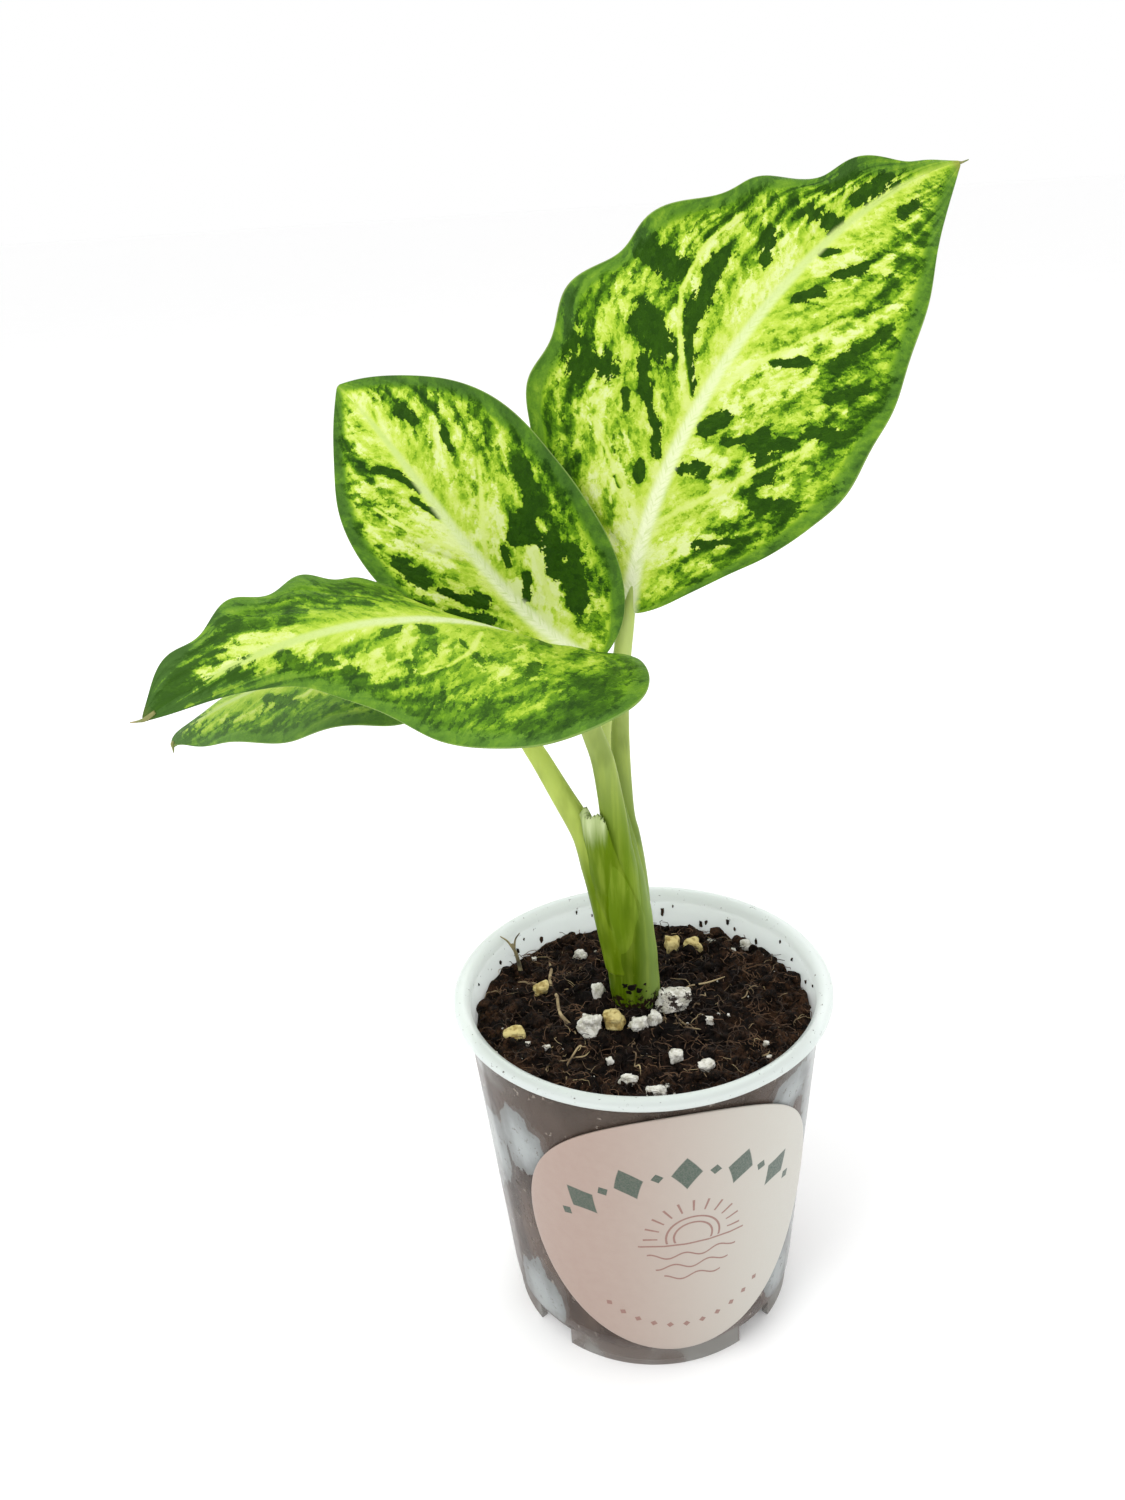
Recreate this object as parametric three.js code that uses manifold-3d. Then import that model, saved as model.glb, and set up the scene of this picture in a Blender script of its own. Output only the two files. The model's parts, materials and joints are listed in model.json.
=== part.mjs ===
// A small dieffenbachia in a translucent plastic nursery pot.
// Millimetres, +Z up. The origin is the middle of the pot's underside, +Y points to the back.
import * as THREE from 'three';
import { mergeVertices } from 'three/addons/utils/BufferGeometryUtils.js';
import Module from 'manifold-3d';

const wasm = await Module();
wasm.setup();

// ---------------------------------------------------------------- driving dimensions
const GAP = 0.3;                 // clearance between pieces that touch

const POT_HEIGHT = 60;
const RIM_RADIUS = 31;           // outside of the rolled rim
const RIM_TALL = 2;
const WALL = 0.8;
const SHOULDER_Z = 4.1;          // where the tapered wall ends above the feet
const SHOULDER_RADIUS = 24.7;
const WALL_TAPER = 0.082;        // radius gained for each millimetre of height
const FOOT_RADIUS = 24.1;
const FOOT_WALL = 1.2;
const FOOT_GAP_WIDE = 7.5;       // the slot between two of the four feet
const FLOOR_Z = 3.4;             // underside of the raised floor
const FLOOR_THICK = 0.9;
const PAD_RADIUS = 12;           // the flat centre that stands on the table
const DRAIN_COUNT = 6;
const DRAIN_RADIUS = 1.8;
const DRAIN_RING = 18;
const POT_SIDES = 48;

const SOIL_EDGE_Z = 53.2;        // soil level at the wall
const SOIL_MOUND = 1.7;          // how much higher it lies round the stem
const SOIL_ROUGH = 0.45;
const SOIL_RINGS = 8;

const LABEL_RADIUS = 25.6;       // a round sticker
const LABEL_TURN = 11.5;         // degrees to the right of the front
const LABEL_Z = 30.4;
const LABEL_THICK = 0.4;

const BLADE_THICK = 0.7;
const BLADE_ROWS = 30;
const BLADE_COLUMNS = [0.3, 0.55, 0.8, 1];   // across one half, outside the midrib
const RIB_HALF = 1.3;            // half width of the midrib
const KEEL_DEEP = 1.4;           // how far the midrib stands out below at the leaf's base

const STALK_SIDES = 10;
const STALK_STEPS = 14;
const STEM_SIDES = 20;

const COLORS = {
  pot: 0xc9d8d6, label: 0xdedccf, soil: 0x2b1d15, perlite: 0xe9e6dd, grit: 0xd9c27a,
  stem: 0x86b02f, sheath: 0xc8cfae, stalk: 0xa9c45e, leaf: 0x5f9a35,
};

// ---------------------------------------------------------------- helpers
const v3 = (x, y, z) => new THREE.Vector3(x, y, z);
const mix = (a, b, t) => a + (b - a) * t;
const clamp01 = (t) => Math.min(1, Math.max(0, t));
const radians = THREE.MathUtils.degToRad;

// A closed surface from rings of equal length, each end closed by a fan to its middle point.
function loft(rings) {
  const n = rings[0].length;
  const positions = rings.flat().flatMap((p) => [p.x, p.y, p.z]);
  const index = [];
  for (let i = 0; i + 1 < rings.length; i++) {
    for (let j = 0; j < n; j++) {
      const a = i * n + j;
      const b = i * n + ((j + 1) % n);
      index.push(a, b, b + n, a, b + n, a + n);
    }
  }
  for (const [row, forward] of [[0, false], [rings.length - 1, true]]) {
    const middle = rings[row].reduce((s, p) => s.add(p), v3(0, 0, 0)).divideScalar(n);
    const centre = positions.length / 3;
    positions.push(middle.x, middle.y, middle.z);
    for (let j = 0; j < n; j++) {
      const a = row * n + j;
      const b = row * n + ((j + 1) % n);
      index.push(centre, forward ? a : b, forward ? b : a);
    }
  }
  return facingOut(meshOf(positions, index));
}

function meshOf(positions, index) {
  const geometry = new THREE.BufferGeometry();
  geometry.setAttribute('position', new THREE.Float32BufferAttribute(positions, 3));
  geometry.setIndex(index);
  return geometry;
}

function volumeOf(geometry) {
  const p = geometry.attributes.position;
  const index = geometry.index;
  const [a, b, c] = [v3(), v3(), v3()];
  let sum = 0;
  for (let i = 0; i < index.count; i += 3) {
    a.fromBufferAttribute(p, index.getX(i));
    b.fromBufferAttribute(p, index.getX(i + 1));
    c.fromBufferAttribute(p, index.getX(i + 2));
    sum += a.dot(b.cross(c)) / 6;
  }
  return sum;
}

function facingOut(geometry) {
  if (volumeOf(geometry) < 0) {
    const index = geometry.index;
    for (let i = 0; i < index.count; i += 3) {
      const second = index.getX(i + 1);
      index.setX(i + 1, index.getX(i + 2));
      index.setX(i + 2, second);
    }
  }
  return geometry;
}

function welded(geometry) {
  const bare = geometry.clone();
  bare.deleteAttribute('normal');
  bare.deleteAttribute('uv');
  return facingOut(mergeVertices(bare, 1e-4));
}

function solidOf(geometry) {
  const bare = welded(geometry);
  const vertProperties = new Float32Array(bare.attributes.position.array);
  const triVerts = new Uint32Array(bare.index.array);
  return new wasm.Manifold(new wasm.Mesh({ numProp: 3, vertProperties, triVerts }));
}

function geometryOf(solid) {
  const mesh = solid.getMesh();
  const positions = [];
  for (let i = 0; i < mesh.vertProperties.length; i += mesh.numProp) {
    positions.push(...mesh.vertProperties.slice(i, i + 3));
  }
  return meshOf(positions, [...mesh.triVerts]);
}

const group = new THREE.Group();
function piece(name, geometry, color, roughness) {
  const material = new THREE.MeshStandardMaterial({ color, roughness, metalness: 0 });
  const mesh = new THREE.Mesh(geometry, material);
  mesh.name = name;
  group.add(mesh);
  return mesh;
}

// A round rod along a smooth line, whose radius runs from the first value to the last.
// swell makes it that much thicker and longer all round, for cutting the hole it stands in.
function stalkGeometry(points, radii, swell, sides = STALK_SIDES, steps = STALK_STEPS) {
  const line = points.map((p) => v3(...p));
  const last = line.length - 1;
  const first = line[0].clone().sub(line[1]).setLength(swell);
  const beyond = line[last].clone().sub(line[last - 1]).setLength(swell);
  line[0].add(first);
  line[last].add(beyond);
  const curve = new THREE.CatmullRomCurve3(line);
  const frames = curve.computeFrenetFrames(steps, false);
  const rings = [];
  for (let i = 0; i <= steps; i++) {
    const t = i / steps;
    const middle = curve.getPointAt(t);
    const radius = mix(...radii, t) + swell;
    const ring = [];
    for (let j = 0; j < sides; j++) {
      const a = (j / sides) * Math.PI * 2;
      const side = frames.normals[i].clone().multiplyScalar(radius * Math.cos(a));
      side.addScaledVector(frames.binormals[i], radius * Math.sin(a));
      ring.push(middle.clone().add(side));
    }
    rings.push(ring);
  }
  return loft(rings);
}

// ---------------------------------------------------------------- pot
const wallRadius = (z) => SHOULDER_RADIUS + (z - SHOULDER_Z) * WALL_TAPER;
const innerRadius = (z) => wallRadius(z) - WALL;
const floorTop = FLOOR_Z + FLOOR_THICK;

function potGeometry() {
  const wallTop = POT_HEIGHT - RIM_TALL;
  const rimMiddle = POT_HEIGHT - RIM_TALL / 2;
  const profile = [
    [0, 0], [PAD_RADIUS, 0], [PAD_RADIUS + 1, FLOOR_Z], [FOOT_RADIUS - FOOT_WALL, FLOOR_Z],
    [FOOT_RADIUS - FOOT_WALL, 0], [FOOT_RADIUS, 0], [FOOT_RADIUS, SHOULDER_Z - 0.3],
    [SHOULDER_RADIUS, SHOULDER_Z + 0.3], [wallRadius(wallTop), wallTop],
  ];
  const rimOuterBend = [[0.45, -1], [0.85, -0.75], [1, 0], [0.85, 0.75], [0.45, 1]];
  const reach = RIM_RADIUS - wallRadius(POT_HEIGHT);
  for (const [out, up] of rimOuterBend) {
    profile.push([wallRadius(POT_HEIGHT) + reach * out, rimMiddle + (RIM_TALL / 2) * up]);
  }
  profile.push(
    [innerRadius(POT_HEIGHT) + 0.5, POT_HEIGHT], [innerRadius(POT_HEIGHT), POT_HEIGHT - 0.5],
    [innerRadius(floorTop + 1), floorTop + 1], [innerRadius(floorTop) - 1, floorTop],
    [PAD_RADIUS + 0.3, floorTop], [PAD_RADIUS - 0.7, FLOOR_THICK], [0, FLOOR_THICK],
  );
  const lathe = new THREE.LatheGeometry(profile.map(([r, z]) => new THREE.Vector2(r, z)), POT_SIDES);
  lathe.rotateX(Math.PI / 2);
  let solid = solidOf(lathe);
  for (let i = 0; i < 4; i++) {
    const slot = new THREE.BoxGeometry(FOOT_WALL * 4, FOOT_GAP_WIDE, FLOOR_Z * 2);
    slot.translate(FOOT_RADIUS, 0, 0).rotateZ(Math.PI / 4 + (i * Math.PI) / 2);
    solid = solid.subtract(solidOf(slot));
  }
  for (let i = 0; i < DRAIN_COUNT; i++) {
    const hole = new THREE.CylinderGeometry(DRAIN_RADIUS, DRAIN_RADIUS, FLOOR_THICK * 4, 12);
    hole.rotateX(Math.PI / 2).translate(DRAIN_RING, 0, FLOOR_Z);
    hole.rotateZ((i * Math.PI * 2) / DRAIN_COUNT);
    solid = solid.subtract(solidOf(hole));
  }
  return geometryOf(solid);
}
piece('pot', potGeometry(), COLORS.pot, 0.35);

// ---------------------------------------------------------------- label
// A disc wrapped round the tapered wall, a hair clear of it.
function labelGeometry() {
  const rings = 10;
  const sides = 48;
  const turn = radians(LABEL_TURN);
  const place = (across, up, out) => {
    const z = LABEL_Z + up;
    const angle = turn + across / wallRadius(LABEL_Z);
    const r = wallRadius(z) + out;
    return v3(r * Math.sin(angle), -r * Math.cos(angle), z);
  };
  const face = (out) => {
    const made = [];
    for (let i = 1; i <= rings; i++) {
      const r = (LABEL_RADIUS * i) / rings;
      made.push(Array.from({ length: sides }, (_, j) => {
        const a = (j / sides) * Math.PI * 2;
        return place(r * Math.cos(a), r * Math.sin(a), out);
      }));
    }
    return made;
  };
  return loft([...face(GAP), ...face(GAP + LABEL_THICK).reverse()]);
}
piece('label', labelGeometry(), COLORS.label, 0.5);

// ---------------------------------------------------------------- stem with its roots
// Each station: x, y, z of the middle, half width, half depth. The sheaths of the leaves
// wrap the cane, so it widens upward and leans a little to the left.
const STEM = [
  [-0.8, 2.2, 34, 2.2, 2.2], [-0.9, 2.2, 38, 3.4, 3.4], [-1.0, 2.2, 48, 3.9, 3.9],
  [-1.0, 2.2, 54, 4.0, 4.0], [-1.2, 2.1, 59, 4.2, 4.2], [-1.6, 2.0, 65, 4.3, 4.3],
  [-2.4, 1.9, 72, 4.5, 4.6], [-3.2, 1.7, 77, 4.6, 4.8], [-3.9, 1.4, 82, 4.7, 5.0],
  [-4.3, 1.2, 87, 4.5, 5.2], [-4.3, 1.1, 91, 4.2, 5.1], [-4.1, 1.0, 92.5, 3.6, 4.6],
];
const ROOT_COUNT = 7;
const ROOT_RADIUS = 0.9;
const ROOT_TOP_Z = 42;
const ROOT_SIDES = 6;
const ROOT_STEPS = 7;

function stemGeometry(swell) {
  return loft(STEM.map(([x, y, z, rx, ry], i) => Array.from({ length: STEM_SIDES }, (_, j) => {
    const a = (j / STEM_SIDES) * Math.PI * 2;
    return v3(x + (rx + swell) * Math.cos(a), y + (ry + swell) * Math.sin(a), i ? z : z - swell);
  })));
}

function rootGeometry(i, swell) {
  const a = (i / ROOT_COUNT) * Math.PI * 2 + 0.3;
  const reach = 11 + 3 * Math.sin(i * 2.4);
  const depth = 24 + 6 * Math.cos(i * 1.7);
  const [x, y] = STEM[1];
  const along = (out, down, bend) => [
    x + out * Math.cos(a + bend), y + out * Math.sin(a + bend), ROOT_TOP_Z - down,
  ];
  const points = [
    along(1.5, 0, 0), along(reach * 0.45, depth * 0.2, 0.1),
    along(reach * 0.85, depth * 0.6, 0.3), along(reach, depth, 0.5),
  ];
  return stalkGeometry(points, [ROOT_RADIUS, ROOT_RADIUS * 0.5], swell, ROOT_SIDES, ROOT_STEPS);
}

function stemSolid(swell) {
  let solid = solidOf(stemGeometry(swell));
  for (let i = 0; i < ROOT_COUNT; i++) {
    solid = solid.add(solidOf(rootGeometry(i, swell)));
  }
  return solid;
}

// ---------------------------------------------------------------- leaves
// Each blade: the midrib is a cubic curve (mid). The two lists in fold, curl, half, wave,
// scallop and the two values in lobe are the left and the right half, seen from the base.
// up: which way the upper face looks. roll, fold, curl: degrees at the base and at the tip.
// half: width of the half at five even stations. wave, scallop: count, height, phase of the
// edge's rise and fall and of its outline. lobe: how far the edge reaches back at the base.
const LEAVES = {
  tall: {
    mid: [[0, 6, 121], [4.5, 5, 149.5], [26, 4.5, 176], [48, 18.5, 179.5]], up: [0, -1, 0.15],
    roll: [7, 10], fold: [[7, 5], [9, 10]], curl: [[-6, -2], [-3, 2]],
    half: [[15, 21.5, 21.5, 12.5, 4], [16, 22.5, 23, 22, 16]],
    wave: [[4.3, 1.8, 0.6], [2.2, -1.3, 0.07]], scallop: [[7.6, 0.9, 0.97], [5, 0.2, 0.5]],
    lobe: [4, -2.5],
  },
  middle: {
    mid: [[-5, 3.5, 114], [-21, 2.7, 124.7], [-29, 1.9, 146.8], [-40.8, 13.5, 155]], up: [0, -1, 0.25],
    roll: [4, 2], fold: [[11, 8], [12, 8]], curl: [[-10, -7], [-8, -5]],
    half: [[13, 11, 13.5, 15.5, 13], [15, 16.5, 18, 20, 14]],
    wave: [[2.5, 0.5, -0.2], [2.6, 0.4, 0.34]], scallop: [[8, 0, 0], [6, 0, 0]],
    lobe: [0.5, 4.5],
  },
  front: {
    mid: [[-9, -6, 118.2], [-15.5, -19, 130.7], [-36.5, -26.5, 137], [-61.5, -30, 121]], up: [0, 0, 1],
    roll: [-15, 57], fold: [[0, -25], [-25, -6]], curl: [[2, -22], [-7, 0]],
    half: [[16, 25.5, 18, 8, 6.5], [14, 17, 14.5, 15, 20]],
    wave: [[3.2, 0.8, 0.24], [6.5, 0.5, 0.06]], scallop: [[6.2, 0.2, 0.1], [8, 0.8, -0.25]],
    lobe: [4.5, 1.5],
  },
  low: {
    mid: [[-18.5, 5, 109.2], [-29, 3, 127], [-64.6, -4.6, 113], [-67.2, -7.8, 108.4]], up: [0, 0, 1],
    roll: [2, 7], fold: [[-11, -12], [-12, -13]], curl: [[-12, -13], [-14, -15]],
    half: [[13, 14, 14.5, 12.4, 7], [13, 15, 15, 12, 7]],
    wave: [[3.9, 1, 0.28], [4, 0.7, 0.4]], scallop: [[8, 0, 0], [6, 0, 0]],
    lobe: [4.5, 5],
  },
};

// ---------------------------------------------------------------- leaf stalks
// Points from the socket in the stem upward; the last two are worked out from the blade.
const STALKS = {
  low: { radii: [1.75, 1.25], points: [
    [-6.6, 0.9, 84.5], [-8.2, 0.8, 88], [-11.2, 0.9, 93.7], [-13.8, 1.6, 98.8], [-16.4, 2.9, 103.5]] },
  front: { radii: [1.9, 1.25], points: [
    [-3.1, -1.6, 88], [-3.6, -2.2, 94], [-4.5, -3.0, 101], [-5.8, -3.8, 106], [-7.2, -4.7, 111.5]] },
  middle: { radii: [1.3, 1.2], points: [
    [-4.3, 1.6, 88.5], [-4.3, 1.5, 96], [-4.4, 1.9, 103]] },
  tall: { radii: [1.6, 1.25], points: [
    [-2.1, 4.2, 88.5], [-2.1, 4.8, 96], [-1.9, 5.4, 104], [-1.3, 5.9, 112]] },
};
const STALK_SHORT = 0.65;        // how far before the blade's base a stalk ends
const STALK_STRAIGHT = 2.2;      // from where on it runs in line with the midrib

function stalkShape(name, swell) {
  const { points, radii } = STALKS[name];
  const leaf = LEAVES[name];
  const base = v3(...leaf.mid[0]);
  const along = v3(...leaf.mid[1]).sub(base).normalize();
  const before = (reach) => base.clone().addScaledVector(along, -reach).toArray();
  return stalkGeometry([...points, before(STALK_STRAIGHT), before(STALK_SHORT)], radii, swell);
}

let stem = stemSolid(0);
for (const name of Object.keys(STALKS)) {
  stem = stem.subtract(solidOf(stalkShape(name, GAP)));
  piece(`petiole_${name}`, stalkShape(name, 0), COLORS.stalk, 0.45);
}
piece('stem', geometryOf(stem), COLORS.stem, 0.45);

// ---------------------------------------------------------------- torn sheath
// The dry end of the lowest leaf's sheath: a thin shell round the front left of the stem.
const SHEATH = { from: 214, to: 292, bottomZ: 80, topZ: 93.2, dropZ: 85.5, thick: 0.6, steps: 12, rows: 6 };

function stemAt(z) {
  const i = Math.max(1, STEM.findIndex((s) => s[2] >= z));
  const [low, high] = [STEM[i - 1], STEM[i]];
  const t = clamp01((z - low[2]) / (high[2] - low[2]));
  return low.map((value, k) => mix(value, high[k], t));
}

function sheathGeometry() {
  const top = (t) => mix(SHEATH.topZ, SHEATH.dropZ, clamp01((t - 0.45) / 0.55) ** 1.3);
  const point = (t, h, out) => {
    const z = mix(SHEATH.bottomZ, top(t), h);
    const [x, y, , rx, ry] = stemAt(Math.min(z, 91));
    const a = radians(mix(SHEATH.from, SHEATH.to, t));
    return v3(x + (rx + out) * Math.cos(a), y + (ry + out) * Math.sin(a), z);
  };
  const inner = GAP + 0.1;
  const outer = inner + SHEATH.thick;
  const rings = [];
  for (let i = 0; i <= SHEATH.steps; i++) {
    const t = i / SHEATH.steps;
    const ring = [];
    for (let j = 0; j <= SHEATH.rows; j++) ring.push(point(t, j / SHEATH.rows, inner));
    for (let j = SHEATH.rows; j >= 0; j--) ring.push(point(t, j / SHEATH.rows, outer));
    rings.push(ring);
  }
  return loft(rings);
}
piece('sheath', sheathGeometry(), COLORS.sheath, 0.6);

// ---------------------------------------------------------------- blade surfaces
const BLADE_START = 0.004;       // the blade begins a little past the stalk's end
const BLADE_END = 0.985;
const FLAT_ANGLE = 0.002;        // radians, below which a half has no curl to speak of

// The width of a half at u, a smooth line through its five stations.
function stationValue(values, u) {
  const last = values.length - 1;
  const ends = [2 * values[0] - values[1], ...values, 2 * values[last] - values[last - 1]];
  const x = clamp01(u) * last;
  const i = Math.min(last - 1, Math.floor(x));
  const t = x - i;
  const [a, b, c, d] = ends.slice(i, i + 4);
  const square = (2 * a - 5 * b + 4 * c - d) * t ** 2;
  const cube = (3 * b - a - 3 * c + d) * t ** 3;
  return 0.5 * (2 * b + (c - a) * t + square + cube);
}

const outline = (u) => (Math.sqrt(u) * (1 - u) ** 0.8) / 0.5 ** 1.3;   // round base, pointed tip
const halfWidth = (leaf, side, u) => outline(u) * stationValue(leaf.half[side], u);

// A point of the blade's middle surface: u runs from base to tip, v from the left edge to the right.
function bladePoint(leaf, u, v) {
  const curve = new THREE.CubicBezierCurve3(...leaf.mid.map((p) => v3(...p)));
  const along = curve.getTangent(u);
  const across = along.clone().cross(v3(...leaf.up)).normalize();
  const normal = across.clone().cross(along);
  const roll = radians(mix(...leaf.roll, u));
  const turned = across.clone().multiplyScalar(Math.cos(roll)).addScaledVector(normal, Math.sin(roll));
  const raised = normal.multiplyScalar(Math.cos(roll)).addScaledVector(across, -Math.sin(roll));

  const side = v < 0 ? 0 : 1;
  const s = Math.abs(v);
  const width = halfWidth(leaf, side, u);
  const start = radians(mix(...leaf.fold[side], u));
  let bend = radians(mix(...leaf.curl[side], u));
  if (Math.abs(bend) < FLAT_ANGLE) bend = FLAT_ANGLE;
  const end = start + bend * s;
  let x = (width * (Math.sin(end) - Math.sin(start))) / bend;
  let z = (-width * (Math.cos(end) - Math.cos(start))) / bend;

  const edge = s ** 2.5;
  const [waves, waveHigh, wavePhase] = leaf.wave[side];
  const calm = Math.sin(Math.PI * u) ** 0.6;
  const wave = waveHigh * edge * calm * Math.sin(2 * Math.PI * (waves * u + wavePhase));
  const [scallops, scallopDeep, scallopPhase] = leaf.scallop[side];
  const scallop = scallopDeep * edge * Math.sin(2 * Math.PI * (scallops * u + scallopPhase));
  x += scallop * Math.min(1, width / 8) - wave * Math.sin(end);
  z += wave * Math.cos(end);
  const back = leaf.lobe[side] * (1 - u) ** 2 * s ** 1.5 * outline(u);

  return curve.getPoint(u)
    .addScaledVector(turned, side ? x : -x)
    .addScaledVector(raised, z)
    .addScaledVector(along, -back);
}

function bladeGeometry(leaf) {
  const rows = [];
  for (let i = 0; i <= BLADE_ROWS; i++) {
    const even = i / BLADE_ROWS;
    const eased = (1 - Math.cos(Math.PI * even)) / 2;
    rows.push(mix(BLADE_START, BLADE_END, mix(even, eased, 0.6)));
  }
  const columnsAt = (u) => {
    const half = (side) => {
      const rib = Math.min(0.2, RIB_HALF / halfWidth(leaf, side, u));
      return [rib, ...BLADE_COLUMNS];
    };
    return [...half(0).map((s) => -s).reverse(), 0, ...half(1)];
  };
  const step = 0.01;
  const normalAt = (u, v) => {
    const ahead = bladePoint(leaf, Math.min(u + step, 1 - step), v);
    const behind = bladePoint(leaf, Math.max(u - step, BLADE_START / 2), v);
    const right = bladePoint(leaf, u, Math.min(v + step, 1));
    const left = bladePoint(leaf, u, Math.max(v - step, -1));
    return right.sub(left).cross(ahead.sub(behind)).normalize();
  };
  const top = [];
  const bottom = [];
  for (const u of rows) {
    const columns = columnsAt(u);
    const middle = (columns.length - 1) / 2;
    columns.forEach((v, j) => {
      const p = bladePoint(leaf, u, v);
      const n = normalAt(u, j === middle ? 1e-3 : v);
      if (j === middle) n.add(normalAt(u, -1e-3)).normalize();
      const keel = j === middle ? KEEL_DEEP * (1 - 0.75 * u) * Math.min(1, (1 - u) * 5) : 0;
      top.push(p.clone().addScaledVector(n, BLADE_THICK / 2));
      bottom.push(p.clone().addScaledVector(n, -BLADE_THICK / 2 - keel));
    });
  }
  const n = BLADE_COLUMNS.length * 2 + 3;
  const positions = [...top, ...bottom].flatMap((p) => [p.x, p.y, p.z]);
  const under = top.length;
  const index = [];
  const quad = (a, b, c, d) => index.push(a, b, c, a, c, d);
  for (let i = 0; i < BLADE_ROWS; i++) {
    for (let j = 0; j + 1 < n; j++) {
      const a = i * n + j;
      index.push(a, a + 1, a + n + 1, a, a + n + 1, a + n);
      index.push(under + a, under + a + n + 1, under + a + 1, under + a, under + a + n, under + a + n + 1);
    }
    const left = i * n;
    const right = i * n + n - 1;
    quad(left, left + n, under + left + n, under + left);
    quad(right, under + right, under + right + n, right + n);
  }
  for (let j = 0; j + 1 < n; j++) {
    const tip = BLADE_ROWS * n + j;
    quad(j, under + j, under + j + 1, j + 1);
    quad(tip, tip + 1, under + tip + 1, under + tip);
  }
  return facingOut(meshOf(positions, index));
}
for (const [name, leaf] of Object.entries(LEAVES)) {
  piece(`leaf_${name}`, bladeGeometry(leaf), COLORS.leaf, 0.4);
}

// ---------------------------------------------------------------- granules in the soil
// x, y, z of the middle and the three sizes across.
const PERLITE = [
  [5.2, -1.0, 56.6, 5.8, 5.0, 4.4], [-8.7, -6.0, 55.6, 4.0, 3.6, 3.8],
  [-0.7, -5.9, 55.4, 3.4, 2.8, 2.4], [1.9, -4.9, 55.6, 2.2, 2.4, 2.8],
  [-7.2, 2.2, 56.0, 2.2, 2.4, 3.6], [-10.8, 17.0, 54.0, 2.8, 2.0, 1.8],
  [18.8, 18.4, 54.0, 3.0, 2.4, 2.0], [5.0, -13.4, 54.6, 2.6, 2.4, 2.2],
  [9.5, -15.8, 54.4, 2.8, 2.0, 2.0], [-2.6, -18.4, 54.2, 3.2, 2.2, 2.0],
  [1.4, -21.2, 54.0, 3.6, 2.2, 2.0],
];
const GRIT = [
  [-4.8, -4.9, 55.6, 3.8, 3.2, 3.0], [-17.2, 6.2, 54.4, 2.8, 2.6, 2.2],
  [-21.0, -6.3, 54.0, 3.2, 3.0, 2.8], [5.8, 19.4, 54.0, 3.2, 3.0, 3.4],
  [9.4, 18.4, 54.0, 3.0, 2.8, 3.0],
];

function granuleGeometry([x, y, z, wide, deep, tall], seed, swell) {
  const stone = welded(new THREE.IcosahedronGeometry(1, 0));
  const p = stone.attributes.position;
  for (let i = 0; i < p.count; i++) {
    const uneven = 1 + 0.14 * Math.sin(seed * 7.3 + i * 2.9);
    p.setXYZ(
      i,
      x + (p.getX(i) * uneven * wide) / 2 + swell * p.getX(i),
      y + (p.getY(i) * uneven * deep) / 2 + swell * p.getY(i),
      z + (p.getZ(i) * uneven * tall) / 2 + swell * p.getZ(i),
    );
  }
  return stone;
}

// ---------------------------------------------------------------- soil
function soilTop(x, y) {
  const [stemX, stemY] = STEM[3];
  const away = Math.hypot(x - stemX, y - stemY);
  const mound = SOIL_MOUND * Math.exp(-((away / 13) ** 2));
  const rough = Math.sin(0.9 * x + 1.1) * Math.cos(0.8 * y - 0.4) + 0.6 * Math.sin(0.45 * x - 1.3 * y);
  return SOIL_EDGE_Z + mound + SOIL_ROUGH * rough;
}

function soilGeometry() {
  const ring = (r, height) => Array.from({ length: POT_SIDES }, (_, j) => {
    const a = (j / POT_SIDES) * Math.PI * 2;
    const [x, y] = [r * Math.cos(a), r * Math.sin(a)];
    return v3(x, y, height === null ? soilTop(x, y) : height);
  });
  const edge = innerRadius(SOIL_EDGE_Z) - GAP * 1.3;
  const rings = [
    ring(1, FLOOR_THICK + GAP), ring(PAD_RADIUS - 1.3, FLOOR_THICK + GAP),
    ring(PAD_RADIUS - 0.2, floorTop + GAP), ring(innerRadius(floorTop) - 1.5, floorTop + GAP),
    ring(innerRadius(floorTop + 1.3) - GAP * 1.3, floorTop + 1.3), ring(edge, null),
  ];
  for (let i = SOIL_RINGS - 1; i >= 1; i--) rings.push(ring((edge * i) / SOIL_RINGS, null));
  return loft(rings);
}

let soil = solidOf(soilGeometry()).subtract(stemSolid(GAP));
const granules = [
  ...PERLITE.map((place, i) => ({ name: `perlite_${i + 1}`, place, seed: i + 1, color: COLORS.perlite })),
  ...GRIT.map((place, i) => ({ name: `grit_${i + 1}`, place, seed: i + 21, color: COLORS.grit })),
];
for (const { name, place, seed, color } of granules) {
  piece(name, granuleGeometry(place, seed, 0), color, 0.9);
  soil = soil.subtract(solidOf(granuleGeometry(place, seed, GAP)));
}
piece('soil', geometryOf(soil), COLORS.soil, 0.95);

export default group;
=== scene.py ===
# %% [markdown]
# # A potted dieffenbachia
# This lesson dresses a measured model of a young dieffenbachia in a thin plastic nursery pot.
# The measured model gives the sizes and the places. Here each piece gets its real surface:
# leaves with veins and marbling, a fleshy stem, crumbly soil and a frosted, translucent pot.
# Lengths are in millimetres in the lists and become metres when a mesh is made. The middle of
# the pot's underside is the origin, and +Z is up.

# %% Frame
import json
import math

import bmesh
import bpy
import numpy as np
from mathutils import Matrix, Vector, noise

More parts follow.
